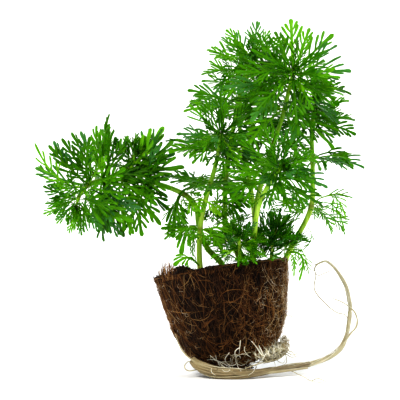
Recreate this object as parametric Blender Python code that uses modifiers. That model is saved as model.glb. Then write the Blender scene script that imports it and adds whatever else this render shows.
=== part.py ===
# A dwarf ambulia as it is sold: shoots of finely cut leaves rooted in a bare plug of pressed coconut fibre.
# The plug leans to the left and a little back, on a flat mat of roots, and a root bundle trails round its
# front and springs up on the right. Metres, +Z up, the floor at Z = 0 and the origin under the plug.

import math
from collections import namedtuple

import bmesh
import bpy
from mathutils import Matrix, Vector
from mathutils.bvhtree import BVHTree

MM = 0.001
GAP = 0.3

# Sizes and places below are in millimetres.
# The coir plug: (radius, height) from its round bottom to its rim, along its own axis
PLUG_OUTLINE = [(7.4, 1.6), (12.1, 3.5), (16.7, 6.7), (19.7, 12.0), (21.9, 18.0), (23.3, 25.0), (25.3, 37.0)]
PLUG_DOME_HEIGHT = 38.2
PLUG_FOOT = (0.0, -2.0, 3.1)
PLUG_LEAN_LEFT = 8.2
PLUG_LEAN_BACK = 6.0
PLUG_SIDES = 32

# The roots under the plug and on its lower right: centre and half sizes of each lump
MAT_CENTRE = (-2.0, -0.5, 3.6)
MAT_HALF_SIZE = (12.5, 12.0, 7.0)
FRINGE_CENTRE = (12.5, -4.5, 9.0)
FRINGE_HALF_SIZE = (9.5, 12.0, 4.6)

# The trailing roots: points by hand along each one, and its radius at the two ends
TRAILING_ROOTS = {
    "root_bundle": ([(-15.8, -9.5, 6.2), (-13.2, -13.6, 4.4), (-6, -17.2, 2.3), (2.7, -17.8, 2),
                     (8.5, -15.2, 2.2), (14, -10, 2.7), (22, -3, 3.1), (28, 3, 3.5)], (1.9, 1.25)),
    "root_curl": ([(29.4, 4.2, 3.8), (33.7, 7.6, 5.3), (38.3, 9.5, 7.9), (42.1, 10, 12.1), (43.6, 10, 18.1),
                   (44, 10, 23.3), (43.6, 10, 27.9), (42.1, 9, 33.2), (39, 7, 38.7), (35.2, 5, 42.5),
                   (32.4, 3, 42.3), (29.9, 1, 39.3)], (1.2, 0.45)),
    "root_offshoot": ([(44.2, 7.4, 14.6), (46.1, 5.6, 17.2), (46.6, 4.8, 20.2), (45.6, 4.6, 23.4),
                       (43, 4.8, 25.8), (40.4, 5.2, 27.3), (37.5, 6, 28.4)], (0.7, 0.35)),
}
ROOT_STEP = 3.6

# The shoots, front ones first: points by hand up each stem, from where it leaves the plug to its tip.
# The side shoot starts on the left branch instead.
STEM_ROUTES = {
    "right_front": [(6.4, -3, 43), (7.4, -3, 57.8), (8.3, -3, 66.5), (12.5, -5, 81.8), (17.4, -9, 97.2),
                    (19.7, -15, 107), (21.2, -22, 113.8), (21.6, -28, 116.4)],
    "middle_front": [(7.6, -14, 43), (7.9, -17, 53.9), (8.8, -20, 64), (12, -25, 73),
                     (15.8, -32, 79), (17.4, -38, 80.9)],
    "left_front": [(-13.3, -13, 42), (-13.3, -13, 56), (-11, -13, 67.8), (-8.3, -13, 76.9),
                   (-6.1, -15, 86.1), (-5.3, -19, 90.9), (-4.9, -25, 93.4)],
    "left_branch": [(-4.9, -4, 42), (-10.6, -6, 48.5), (-13.6, -7, 56.1), (-14.8, -7.5, 64), (-18.8, -9, 68.6),
                    (-26.9, -10, 72.2), (-34.1, -12, 73.8), (-47, -14, 74.7), (-54.2, -18, 73.4),
                    (-58, -24, 69.5), (-59.1, -31, 65.3)],
    "top": [(1.9, 4, 42), (0, 4, 48), (-3.4, 4, 53.5), (-3.8, 5, 64.2), (-3.4, 6, 75.5), (-0.8, 6, 92.6),
            (3.4, 4, 109.8), (6.1, -2, 118.6), (6.8, -10, 121.8)],
    "right_tall": [(18.9, 2, 43), (22, 2, 49.5), (26.9, 3, 58.2), (29.2, 4, 64.6), (29.6, 5, 72.5),
                   (29.4, 6, 84.2), (29.2, 6, 92), (29.8, 3, 99.5), (30.6, -4, 104)],
    "side_shoot": [(-38.6, -10.6, 76.4), (-39, -10.8, 79.4), (-38.6, -12, 82.6), (-36.6, -14.5, 85.4)],
    "back": [(6.9, 10, 42), (7.6, 14, 58), (5, 18, 76.8), (1.6, 20, 95.7), (1.9, 18, 107.1), (3, 12, 113.9)],
    "low_middle": [(1.5, -17, 43), (1.5, -18, 49.1), (1.1, -22, 54.4)],
    "low_right": [(13.3, -7, 43), (14, -8, 49.8), (15.4, -8, 57)],
}
STEM_RADII = (1.1, 0.75)
SHORT_STEM_RADII = (0.8, 0.6)
SHORT_STEMS = ("side_shoot", "low_middle", "low_right")
STEM_STEP = 5.5
FOOT_GAP = 0.5
FOOT_RISE = 1.5

# Whorls of leaves on each shoot: how far down from the tip each one grows, its leaves and their length,
# and the angle in degrees that they open to, from the stem's own direction
Whorl = namedtuple("Whorl", "down leaves length opening")
WHORLS = {
    "right_front": [Whorl(2, 6, 12, 42), Whorl(6.5, 8, 20, 72), Whorl(13.5, 8, 23, 86), Whorl(24, 8, 23, 98),
                    Whorl(38, 7, 18, 95)],
    "middle_front": [Whorl(2, 6, 11, 42), Whorl(6.5, 8, 18, 70), Whorl(14, 8, 21, 84), Whorl(22, 6, 15, 92)],
    "left_front": [Whorl(2, 6, 11, 42), Whorl(6.5, 8, 16, 70), Whorl(14, 8, 20, 85), Whorl(27, 8, 18, 92),
                   Whorl(44, 7, 14, 105)],
    "left_branch": [Whorl(1.5, 6, 8, 42), Whorl(6, 7, 13, 68), Whorl(14, 8, 21, 82), Whorl(25, 8, 24, 78),
                    Whorl(38, 8, 20, 85), Whorl(54, 6, 14, 115)],
    "top": [Whorl(2, 6, 9, 42), Whorl(6, 7, 14, 70), Whorl(13, 8, 17, 85), Whorl(30, 8, 20, 95),
            Whorl(56, 7, 15, 100)],
    "right_tall": [Whorl(2, 6, 9, 42), Whorl(6, 7, 13, 65), Whorl(13, 8, 16, 85), Whorl(27, 8, 18, 95),
                   Whorl(45, 6, 16, 100), Whorl(60, 4, 12, 125)],
    "side_shoot": [Whorl(1.5, 6, 7, 38), Whorl(4.5, 6, 10, 60), Whorl(8, 7, 11, 75)],
    "back": [Whorl(2, 6, 9, 42), Whorl(7, 7, 15, 65), Whorl(14, 8, 19, 85), Whorl(27, 8, 20, 92),
             Whorl(40, 7, 16, 95)],
    "low_middle": [Whorl(1.5, 6, 8, 40), Whorl(6.5, 7, 12, 70)],
    "low_right": [Whorl(1.5, 6, 9, 40), Whorl(6, 8, 13, 70)],
}
COLLAR_WALL = 0.6
COLLAR_HEIGHT = 1.0
COLLAR_SHIFTS = [0.0, 0.8, -0.8, 1.6, -1.6, 2.4, -2.4]

# One leaf: a thin blade that is widest at its shoulders, bends down past them and turns to the light
LEAF_THICKNESS = 0.6
LEAF_SHOULDER = 0.55
LEAF_PITCH_SHARE = 0.74
LEAF_WIDTH_SHARE = 0.5
LEAF_DROOP = 16
LEAF_CLEARANCE = 0.45
LEAF_REACHES = [1.0, 0.88, 0.76, 0.64, 0.52, 0.4]
LIGHT = Vector((0.0, -0.75, 0.66))
LIGHT_TURN_SHARE = 0.6
LIGHT_TURN_LIMIT = 50
SPIN_TRIES = 12
SPIN_STEP = 0.4


def start_clean():
    """Empty the scene and make the two collections, one for the plant and one for the cutters."""
    for old in list(bpy.data.objects):
        bpy.data.objects.remove(old, do_unlink=True)
    plant = bpy.data.collections.new("potted_dwarf_ambulia")
    cutters = bpy.data.collections.new("cutters")
    bpy.context.scene.collection.children.link(plant)
    bpy.context.scene.collection.children.link(cutters)
    return plant, cutters


def finish_material(name, colour, roughness):
    material = bpy.data.materials.new(name)
    material.use_nodes = True
    shader = material.node_tree.nodes["Principled BSDF"]
    shader.inputs["Base Color"].default_value = (*colour, 1.0)
    shader.inputs["Roughness"].default_value = roughness
    shader.inputs["Metallic"].default_value = 0.0
    return material


def in_metres(point):
    return Vector(point) * MM


def smooth_route(points, step):
    """Points about one step apart on the smooth curve that runs through all the given ones."""
    route = [Vector(point) for point in points]
    ends = [2 * route[0] - route[1], *route, 2 * route[-1] - route[-2]]
    result = []
    for before, start, end, after in zip(ends, ends[1:], ends[2:], ends[3:]):
        pieces = max(1, round((end - start).length / step))
        for piece in range(pieces):
            t = piece / pieces
            result.append(0.5 * (2 * start + (end - before) * t
                                 + (2 * before - 5 * start + 4 * end - after) * t ** 2
                                 + (3 * start - before - 3 * end + after) * t ** 3))
    result.append(route[-1])
    return result


def stem_frame(route, down):
    """A frame on a stem at a distance down from its tip, with its Z axis towards the tip."""
    for end, start in zip(route[::-1], route[-2::-1]):
        span = (end - start).length
        direction = (end - start).normalized()
        if down <= span:
            break
        down -= span
    place = Matrix.Translation(in_metres(end - direction * down))
    return place @ direction.to_track_quat("Z", "Y").to_matrix().to_4x4()


def tapered_tube(name, route, radii, material, collection):
    """A six-sided tube along the route, from the first radius to the second, with closed ends."""
    curve = bpy.data.curves.new(name, "CURVE")
    curve.dimensions = "3D"
    curve.bevel_depth = MM
    curve.bevel_resolution = 1
    curve.use_fill_caps = True
    spline = curve.splines.new("POLY")
    spline.points.add(len(route) - 1)
    for number, point in enumerate(route):
        share = number / (len(route) - 1)
        spline.points[number].co = (*in_metres(point), 1.0)
        spline.points[number].radius = radii[0] + (radii[1] - radii[0]) * share
    curve.materials.append(material)
    tube = bpy.data.objects.new(name, curve)
    collection.objects.link(tube)
    return tube


def turned_plug(name, extra, collection):
    """The plug as a turned profile, from the middle of its domed top down its side to its foot."""
    profile = [(0.0, PLUG_DOME_HEIGHT + extra)]
    profile += [(radius + extra, height) for radius, height in reversed(PLUG_OUTLINE)]
    profile.append((0.0, -extra))
    mesh = bpy.data.meshes.new(name)
    points = [in_metres((radius, 0.0, height)) for radius, height in profile]
    mesh.from_pydata(points, [(number, number + 1) for number in range(len(points) - 1)], [])
    plug = bpy.data.objects.new(name, mesh)
    plug.location = in_metres(PLUG_FOOT)
    plug.rotation_euler = (math.radians(-PLUG_LEAN_BACK), math.radians(-PLUG_LEAN_LEFT), 0.0)
    screw = plug.modifiers.new("turn", "SCREW")
    screw.steps = PLUG_SIDES
    screw.render_steps = PLUG_SIDES
    screw.use_merge_vertices = True
    screw.merge_threshold = 0.00001
    collection.objects.link(plug)
    return plug


def root_lump(name, centre, half_size, collection):
    """A round lump of roots, before it is cut to fit round the plug."""
    mesh = bpy.data.meshes.new(name)
    shape = bmesh.new()
    bmesh.ops.create_uvsphere(shape, u_segments=16, v_segments=8, radius=1.0)
    bmesh.ops.scale(shape, vec=in_metres(half_size), verts=shape.verts)
    bmesh.ops.translate(shape, vec=in_metres(centre), verts=shape.verts)
    shape.to_mesh(mesh)
    shape.free()
    lump = bpy.data.objects.new(name, mesh)
    collection.objects.link(lump)
    return lump


def below_floor(collection):
    """A block below the floor, which cuts the root mat flat."""
    mesh = bpy.data.meshes.new("below_floor")
    shape = bmesh.new()
    bmesh.ops.create_cube(shape, size=0.1)
    bmesh.ops.translate(shape, vec=(0.0, 0.0, -0.05), verts=shape.verts)
    shape.to_mesh(mesh)
    shape.free()
    block = bpy.data.objects.new("below_floor", mesh)
    collection.objects.link(block)
    return block


def cut(piece, cutter):
    cutter.hide_render = True
    cutter.display_type = "WIRE"
    boolean = piece.modifiers.new(cutter.name, "BOOLEAN")
    boolean.operation = "DIFFERENCE"
    boolean.solver = "EXACT"
    boolean.object = cutter


class Crowd:
    """All the pieces placed so far, so that the next leaf can be kept clear of them."""

    def __init__(self):
        self.points = []
        self.faces = []
        self.tree = None

    def add(self, piece):
        bpy.context.view_layer.update()
        evaluated = piece.evaluated_get(bpy.context.evaluated_depsgraph_get())
        mesh = evaluated.to_mesh()
        first = len(self.points)
        self.points += [piece.matrix_world @ vertex.co for vertex in mesh.vertices]
        self.faces += [[first + corner for corner in face.vertices] for face in mesh.polygons]
        evaluated.to_mesh_clear()
        self.tree = BVHTree.FromPolygons(self.points, self.faces)

    def touches(self, points, faces):
        return bool(self.tree.overlap(BVHTree.FromPolygons(points, faces)))

    def height_at(self, x, y):
        """The height of the topmost surface at a place, in millimetres."""
        hit = self.tree.ray_cast(in_metres((x, y, 1000.0)), Vector((0.0, 0.0, -1.0)))[0]
        return hit.z / MM


def clear_frame(crowd, route, down, collar_radius):
    """The frame of a whorl on its stem, moved along it a little where its collar would touch a neighbour."""
    for shift in COLLAR_SHIFTS:
        frame = stem_frame(route, down + shift)
        sleeve = bmesh.new()
        radius = in_metres((collar_radius + LEAF_CLEARANCE, 0.0, 0.0)).x
        bmesh.ops.create_cone(sleeve, cap_ends=False, segments=8, radius1=radius, radius2=radius,
                              depth=(COLLAR_HEIGHT + LEAF_CLEARANCE) * MM, matrix=frame)
        points = [vertex.co.copy() for vertex in sleeve.verts]
        faces = [[vertex.index for vertex in face.verts] for face in sleeve.faces]
        sleeve.free()
        if not crowd.touches(points, faces):
            break
    return frame


def leaf_corners(size, collar_radius, azimuth, reach, light, extra):
    """The four corners of a leaf's shoulders and its point, round a stem that runs along +Z.

    The light is a direction in the same frame: the leaf turns about its own length towards it.
    """
    outward = Vector((math.cos(azimuth), math.sin(azimuth), 0.0))
    up = Vector((0.0, 0.0, 1.0))
    opening = math.radians(size.opening)
    droop = math.radians(LEAF_DROOP)
    first = outward * math.sin(opening) + up * math.cos(opening)
    second = outward * math.sin(opening + droop) + up * math.cos(opening + droop)
    sideways = up.cross(outward)
    normal = first.cross(sideways)
    turn = math.atan2(-light.dot(sideways), light.dot(normal)) * LIGHT_TURN_SHARE
    limit = math.radians(LIGHT_TURN_LIMIT)
    twist = Matrix.Rotation(max(-limit, min(limit, turn)), 3, first)
    sideways = twist @ sideways
    normal = twist @ normal
    shoulder = outward * collar_radius + first * size.length * reach * LEAF_SHOULDER
    pitch = shoulder.to_2d().length * math.sin(math.pi / size.leaves)
    half_width = min(pitch * LEAF_PITCH_SHARE, size.length * LEAF_WIDTH_SHARE / 2) + extra
    half_thickness = LEAF_THICKNESS / 2 + extra
    point = shoulder + second * (size.length * reach * (1 - LEAF_SHOULDER) + extra)
    corners = [shoulder + sideways * half_width * side + normal * half_thickness * face
               for side, face in ((-1, -1), (1, -1), (1, 1), (-1, 1))]
    return corners, point


def leaf_is_clear(crowd, frame, size, collar_radius, azimuth, reach, light):
    """Whether a leaf that reaches this far, with room to spare, touches nothing placed so far."""
    half_pitch = math.pi / size.leaves
    level = COLLAR_HEIGHT / 2
    root = [Vector((math.cos(azimuth + side * half_pitch) * collar_radius,
                    math.sin(azimuth + side * half_pitch) * collar_radius, face * level))
            for side, face in ((-1, -1), (1, -1), (1, 1), (-1, 1))]
    corners, point = leaf_corners(size, collar_radius, azimuth, reach, light, LEAF_CLEARANCE)
    points = [frame @ in_metres(corner) for corner in [*root, *corners, point]]
    faces = []
    for corner in range(4):
        following = (corner + 1) % 4
        faces.append((corner, following, 4 + following, 4 + corner))
        faces.append((4 + corner, 4 + following, 8))
    return not crowd.touches(points, faces)


def best_spin(crowd, frame, size, collar_radius, first_spin, light):
    """How far to spin a whorl so that its leaves reach furthest, and the share that each one reaches."""
    best_total = -1.0
    for attempt in range(SPIN_TRIES):
        spin = first_spin + attempt * 2 * math.pi / size.leaves / SPIN_TRIES
        reaches = []
        for number in range(size.leaves):
            azimuth = spin + number * 2 * math.pi / size.leaves
            clear = [reach for reach in LEAF_REACHES
                     if leaf_is_clear(crowd, frame, size, collar_radius, azimuth, reach, light)]
            reaches.append(clear[0] if clear else 0.0)
        if sum(reaches) > best_total + 0.001:
            best_total = sum(reaches)
            best = spin, reaches
    return best


def grow_leaf(shape, face, corners, point):
    """Pull one outer face of the collar out into a leaf: to its shoulders, and then to its point."""
    shoulders = bmesh.ops.extrude_discrete_faces(shape, faces=[face])["faces"][0]
    middle = shoulders.calc_center_median()
    sideways = Vector((-middle.y, middle.x, 0.0))
    for vertex in shoulders.verts:
        on_right = (vertex.co - middle).dot(sideways) > 0
        if vertex.co.z > middle.z:
            vertex.co = in_metres(corners[2 if on_right else 3])
        else:
            vertex.co = in_metres(corners[1 if on_right else 0])
    end = bmesh.ops.extrude_discrete_faces(shape, faces=[shoulders])["faces"][0]
    bmesh.ops.pointmerge(shape, verts=end.verts[:], merge_co=in_metres(point))


def collar(shape, bore, radius, sides):
    """A ring round the stem with one outer face for each leaf. Returns those faces in their order."""
    half = COLLAR_HEIGHT / 2
    profile = [(bore, -half), (radius, -half), (radius, half), (bore, half)]
    ring = [shape.verts.new(in_metres((distance, 0.0, height))) for distance, height in profile]
    edges = [shape.edges.new((ring[number], ring[(number + 1) % 4])) for number in range(4)]
    bmesh.ops.spin(shape, geom=ring + edges, cent=(0, 0, 0), axis=(0, 0, 1), angle=2 * math.pi,
                   steps=sides, use_merge=True)
    bmesh.ops.remove_doubles(shape, verts=shape.verts, dist=0.00001)
    bmesh.ops.recalc_face_normals(shape, faces=shape.faces)
    outer = {}
    for face in shape.faces:
        middle = face.calc_center_median()
        if face.normal.dot(middle) > 0.5 * middle.length and abs(middle.z) < half * MM / 2:
            outer[int(math.atan2(middle.y, middle.x) % (2 * math.pi) * sides / 2 / math.pi)] = face
    return outer


def whorl(name, frame, size, stem_radius, crowd, material, collection):
    """A ring of leaves: a collar round the stem, with each of its outer faces pulled out into a leaf."""
    half_pitch = math.pi / size.leaves
    bore = (stem_radius + GAP) / math.cos(half_pitch)
    collar_radius = bore + COLLAR_WALL
    light = frame.to_3x3().inverted() @ LIGHT
    spin, reaches = best_spin(crowd, frame, size, collar_radius, int(name[-1]) * SPIN_STEP, light)
    spin_turn = Matrix.Rotation(spin - half_pitch, 3, "Z")
    shape = bmesh.new()
    outer = collar(shape, bore, collar_radius, size.leaves)
    for number, reach in enumerate(reaches):
        if reach > 0:
            azimuth = half_pitch + number * 2 * half_pitch
            grow_leaf(shape, outer[number], *leaf_corners(size, collar_radius, azimuth, reach,
                                                          spin_turn.inverted() @ light, 0.0))
    bmesh.ops.recalc_face_normals(shape, faces=shape.faces)
    mesh = bpy.data.meshes.new(name)
    shape.to_mesh(mesh)
    shape.free()
    mesh.materials.append(material)
    ring_of_leaves = bpy.data.objects.new(name, mesh)
    ring_of_leaves.matrix_world = frame @ spin_turn.to_4x4()
    collection.objects.link(ring_of_leaves)
    return ring_of_leaves


def add_plug(plant, cutters):
    """The plug, and a copy of it that is larger by the gap to cut the roots with."""
    plug = turned_plug("coir_plug", 0.0, plant)
    plug.data.materials.append(finish_material("coir", (0.085, 0.042, 0.018), 0.95))
    return plug, turned_plug("plug_clearance", GAP, cutters)


def add_roots(plant, cutters, plug_clearance):
    root = finish_material("root", (0.56, 0.46, 0.30), 0.6)
    mat = root_lump("root_mat", MAT_CENTRE, MAT_HALF_SIZE, plant)
    fringe = root_lump("root_fringe", FRINGE_CENTRE, FRINGE_HALF_SIZE, plant)
    mat_clearance = root_lump("mat_clearance", MAT_CENTRE, [half + GAP for half in MAT_HALF_SIZE], cutters)
    cut(mat, plug_clearance)
    cut(mat, below_floor(cutters))
    cut(fringe, plug_clearance)
    cut(fringe, mat_clearance)
    for lump in (mat, fringe):
        lump.data.materials.append(root)
    return [tapered_tube(name, smooth_route(points, ROOT_STEP), radii, root, plant)
            for name, (points, radii) in TRAILING_ROOTS.items()]


def add_stems(plant, crowd):
    """Every stem, with its foot on the plug. Returns their routes, for their leaves."""
    stalk = finish_material("stalk", (0.30, 0.48, 0.08), 0.45)
    routes = {}
    for name, points in STEM_ROUTES.items():
        points = [Vector(point) for point in points]
        if name != "side_shoot":
            points[0].z = crowd.height_at(points[0].x, points[0].y) + FOOT_GAP
            points.insert(1, points[0] + Vector((0.0, 0.0, FOOT_RISE)))
        routes[name] = smooth_route(points, STEM_STEP)
    for name, route in routes.items():
        radii = SHORT_STEM_RADII if name in SHORT_STEMS else STEM_RADII
        crowd.add(tapered_tube("stem_" + name, route, radii, stalk, plant))
    return routes


def add_leaves(plant, crowd, routes):
    leaf = finish_material("leaf", (0.07, 0.24, 0.025), 0.5)
    for name, route in routes.items():
        stem_radius = SHORT_STEM_RADII[0] if name in SHORT_STEMS else STEM_RADII[0]
        for number, size in enumerate(WHORLS[name], 1):
            frame = clear_frame(crowd, route, size.down, stem_radius + GAP + COLLAR_WALL)
            crowd.add(whorl(f"leaves_{name}_{number}", frame, size, stem_radius, crowd, leaf, plant))


plant_collection, cutter_collection = start_clean()
coir_plug, plug_guide = add_plug(plant_collection, cutter_collection)
placed = Crowd()
placed.add(coir_plug)
for trailing_root in add_roots(plant_collection, cutter_collection, plug_guide):
    placed.add(trailing_root)
stem_routes = add_stems(plant_collection, placed)
add_leaves(plant_collection, placed, stem_routes)
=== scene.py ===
# The looks of a potted dwarf ambulia: its coir plug, roots, stems and finely lobed leaves.
# Sizes and places are in millimetres, and become metres where a mesh is made.
import math
from collections import namedtuple

import bmesh
import bpy
import numpy as np
from mathutils import Euler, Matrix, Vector
from mathutils.bvhtree import BVHTree


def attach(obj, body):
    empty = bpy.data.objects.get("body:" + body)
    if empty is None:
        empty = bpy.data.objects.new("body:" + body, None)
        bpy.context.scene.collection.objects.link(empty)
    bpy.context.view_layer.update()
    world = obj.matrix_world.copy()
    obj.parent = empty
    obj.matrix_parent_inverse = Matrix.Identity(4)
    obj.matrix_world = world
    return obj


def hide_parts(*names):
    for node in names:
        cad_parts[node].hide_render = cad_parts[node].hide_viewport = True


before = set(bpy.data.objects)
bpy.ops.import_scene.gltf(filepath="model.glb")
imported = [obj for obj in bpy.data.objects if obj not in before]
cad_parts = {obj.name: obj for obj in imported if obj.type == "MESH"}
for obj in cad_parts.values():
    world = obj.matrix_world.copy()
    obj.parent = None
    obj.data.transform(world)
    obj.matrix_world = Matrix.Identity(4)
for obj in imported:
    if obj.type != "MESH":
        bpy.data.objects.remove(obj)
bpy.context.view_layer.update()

# The studio: a white floor that curves up into a backdrop on every side, so that no edge shows in any view.
# Its lamps are large and soft: the main one high in front on the left, weaker ones on the right and behind.
FLOOR_RADIUS = 2.6
SWEEP_RADIUS = 1.1
SWEEP_STEPS = 12
FLOOR_COLOUR = (0.92, 0.92, 0.92, 1.0)
FLOOR_ROUGHNESS = 0.9
AIR_COLOUR = (0.96, 0.98, 1.0, 1.0)
AIR_STRENGTH = 0.42
LAMP_ANGLE = math.radians(22.0)

bpy.ops.object.select_all(action="DESELECT")
bpy.ops.mesh.primitive_circle_add(vertices=128, radius=FLOOR_RADIUS, fill_type="NGON")
floor = bpy.context.object
floor.name = "floor"
bpy.ops.object.mode_set(mode="EDIT")
bpy.ops.mesh.select_mode(type="EDGE")
bpy.ops.mesh.select_all(action="SELECT")
for step in range(1, SWEEP_STEPS + 1):
    before = math.pi / 2 * (step - 1) / SWEEP_STEPS
    turn = math.pi / 2 * step / SWEEP_STEPS
    growth = (FLOOR_RADIUS + SWEEP_RADIUS * math.sin(turn)) / (FLOOR_RADIUS + SWEEP_RADIUS * math.sin(before))
    rise = SWEEP_RADIUS * (math.cos(before) - math.cos(turn))
    bpy.ops.mesh.extrude_edges_move(TRANSFORM_OT_translate={"value": (0.0, 0.0, rise)})
    bpy.ops.transform.resize(value=(growth, growth, 1.0))
bpy.ops.object.mode_set(mode="OBJECT")
bpy.ops.object.shade_smooth()
paint = bpy.data.materials.new("pale_floor")
paint.use_nodes = True
paint.node_tree.nodes["Principled BSDF"].inputs["Base Color"].default_value = FLOOR_COLOUR
paint.node_tree.nodes["Principled BSDF"].inputs["Roughness"].default_value = FLOOR_ROUGHNESS
floor.data.materials.append(paint)

air = bpy.data.worlds.new("studio_air")
air.use_nodes = True
air.node_tree.nodes["Background"].inputs["Color"].default_value = AIR_COLOUR
air.node_tree.nodes["Background"].inputs["Strength"].default_value = AIR_STRENGTH
bpy.context.scene.world = air
bpy.context.scene.view_settings.view_transform = "Standard"
bpy.context.scene.view_settings.look = "High Contrast"


def soft_lamp(name, place, strength, colour):
    """A wide soft lamp that shines from the side of a place towards the plant."""
    bpy.ops.object.light_add(type="SUN", location=place)
    lamp = bpy.context.object
    lamp.name = name
    lamp.data.angle = LAMP_ANGLE
    lamp.data.energy = strength
    lamp.data.color = colour
    lamp.rotation_euler = (-Vector(place)).to_track_quat("-Z", "Y").to_euler()


soft_lamp("main_lamp", (-0.5, -0.9, 1.0), 2.2, (1.0, 0.98, 0.94))
soft_lamp("right_lamp", (1.1, -0.3, 0.5), 0.7, (0.95, 0.98, 1.0))
soft_lamp("back_lamp", (0.3, 1.0, 0.9), 1.2, (0.98, 1.0, 1.0))

# The camera: level with the plant but for 3 degrees, and so far away that it flattens the plant.
CAMERA_TARGET = Vector((-0.0133, 0.0, 0.0663))
CAMERA_ELEVATION = math.radians(3.0)
CAMERA_DISTANCE = 1.3
PHOTO_WIDTH = 0.1516

bpy.ops.object.camera_add()
camera = bpy.context.object
camera.data.lens = camera.data.sensor_width * CAMERA_DISTANCE / PHOTO_WIDTH
back_off = Vector((0.0, -math.cos(CAMERA_ELEVATION), math.sin(CAMERA_ELEVATION)))
camera.location = CAMERA_TARGET + back_off * CAMERA_DISTANCE
camera.rotation_euler = (math.pi / 2 - CAMERA_ELEVATION, 0.0, 0.0)
bpy.context.scene.camera = camera

# The coir plug: coconut fibre pressed round growing medium into a tapered shape with a round bottom. This is
# its dark body, a turned shape with a lumpy surface, which shows between the fibres.
MM = 0.001
PLUG_OUTLINE = np.array([(7.4, 1.6), (12.1, 3.5), (16.7, 6.7), (19.7, 12.0), (21.9, 18.0), (23.3, 25.0),
                         (25.3, 37.0)])
PLUG_DOME = [(26.3, 36.5), (25.6, 37.5), (21.0, 37.9), (14.0, 38.1), (6.0, 38.2)]
PLUG_FOOT = np.array((0.0, -2.0, 3.1))
PLUG_LEAN = Euler((math.radians(-6.0), math.radians(-8.2), 0.0))
BODY_INSET = 1.9
BODY_SIDES = 64
BODY_ROUNDING = 2
LUMP_SIZE = 2.2
LUMP_DEPTH = 1.3
EARTH_COLOURS = [(0.3, (0.003, 0.0015, 0.001)), (0.5, (0.012, 0.005, 0.002)), (0.62, (0.04, 0.016, 0.006)),
                 (0.75, (0.09, 0.045, 0.02))]


def new_finish(name, roughness):
    """A material, with its shader, its nodes and its links at hand."""
    finish = bpy.data.materials.new(name)
    finish.use_nodes = True
    shader = finish.node_tree.nodes["Principled BSDF"]
    shader.inputs["Roughness"].default_value = roughness
    return finish, shader, finish.node_tree.nodes, finish.node_tree.links


def colour_ramp(nodes, links, factor, stops):
    """A ramp of colours, each given with its place from 0 to 1, driven by a socket."""
    ramp = nodes.new("ShaderNodeValToRGB")
    for extra in stops[2:]:
        ramp.color_ramp.elements.new(extra[0])
    for element, (place, colour) in zip(ramp.color_ramp.elements, stops):
        element.position = place
        element.color = (*colour, 1.0)
    links.new(factor, ramp.inputs["Fac"])
    return ramp.outputs["Color"]


def fine_noise(nodes, links, scale, detail, stretch=(1.0, 1.0, 1.0)):
    """Noise fixed to the plant's own frame, with its scale in patches a metre."""
    place = nodes.new("ShaderNodeTexCoord")
    mapping = nodes.new("ShaderNodeMapping")
    mapping.inputs["Scale"].default_value = stretch
    noise = nodes.new("ShaderNodeTexNoise")
    noise.inputs["Scale"].default_value = scale
    noise.inputs["Detail"].default_value = detail
    links.new(place.outputs["Object"], mapping.inputs["Vector"])
    links.new(mapping.outputs["Vector"], noise.inputs["Vector"])
    return noise.outputs["Fac"]


def attribute(nodes, name):
    """The numbers that a piece's mesh holds under a name."""
    values = nodes.new("ShaderNodeAttribute")
    values.attribute_name = name
    return values.outputs["Fac"]


def worked_out(nodes, links, operation, first, number, added=None):
    """A socket's value after a sum with a number, and with one more socket that is added."""
    sum_node = nodes.new("ShaderNodeMath")
    sum_node.operation = operation
    sum_node.inputs[1].default_value = number
    links.new(first, sum_node.inputs[0])
    if added:
        links.new(added, sum_node.inputs[2])
    return sum_node.outputs["Value"]


def mixed_colours(nodes, links, factor, first, colour, blend="MIX"):
    """A socket's colour, mixed with a given one as far as the factor says."""
    mix = nodes.new("ShaderNodeMix")
    mix.data_type = "RGBA"
    mix.blend_type = blend
    mix.inputs["B"].default_value = (*colour, 1.0)
    links.new(factor, mix.inputs["Factor"])
    links.new(first, mix.inputs["A"])
    return mix.outputs["Result"]


def bumps(nodes, links, shader, height, distance, strength):
    """Fine relief, in millimetres deep, under the shader."""
    bump = nodes.new("ShaderNodeBump")
    bump.inputs["Distance"].default_value = distance * MM
    bump.inputs["Strength"].default_value = strength
    links.new(height, bump.inputs["Height"])
    links.new(bump.outputs["Normal"], shader.inputs["Normal"])


def let_light_in(shader, weight, radius, scale):
    """Let light spread under the surface, by a scale in millimetres and the shares of it for each colour."""
    shader.inputs["Subsurface Weight"].default_value = weight
    shader.inputs["Subsurface Radius"].default_value = radius
    shader.inputs["Subsurface Scale"].default_value = scale * MM


def new_piece(name, points, faces):
    """An object with a mesh of points, given in millimetres, and faces."""
    mesh = bpy.data.meshes.new(name)
    mesh.from_pydata((points * MM).tolist(), [], faces)
    piece = bpy.data.objects.new(name, mesh)
    bpy.context.collection.objects.link(piece)
    return piece


def give_values(piece, name, values):
    """Store a number for each point of a piece's mesh, for its finish to read."""
    piece.data.attributes.new(name, "FLOAT", "POINT").data.foreach_set("value", values)


def put_in_place(piece, name, finish, slot, *nodes):
    """Name a finished piece, give it its finish and let it ride on the plant, in place of any nodes named."""
    piece.name = name
    piece.data.name = name
    piece.data.materials.clear()
    piece.data.materials.append(finish)
    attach(piece, "root")
    if nodes:
        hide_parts(*nodes)


def put_in_order(mesh):
    """Sort a mesh's faces by the numbers of their corners, because extruded rings come in a chance order."""
    points = [vertex.co.copy() for vertex in mesh.vertices]
    faces = []
    for face in mesh.polygons:
        corners = list(face.vertices)
        lowest = corners.index(min(corners))
        faces.append(corners[lowest:] + corners[:lowest])
    mesh.clear_geometry()
    mesh.from_pydata(points, [], sorted(faces))


earth, shader, nodes, links = new_finish("dark_coir", 0.95)
grain = fine_noise(nodes, links, 900.0, 6.0, (1.0, 1.0, 0.4))
links.new(colour_ramp(nodes, links, grain, EARTH_COLOURS), shader.inputs["Base Color"])
bumps(nodes, links, shader, grain, 0.5, 0.8)

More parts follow.
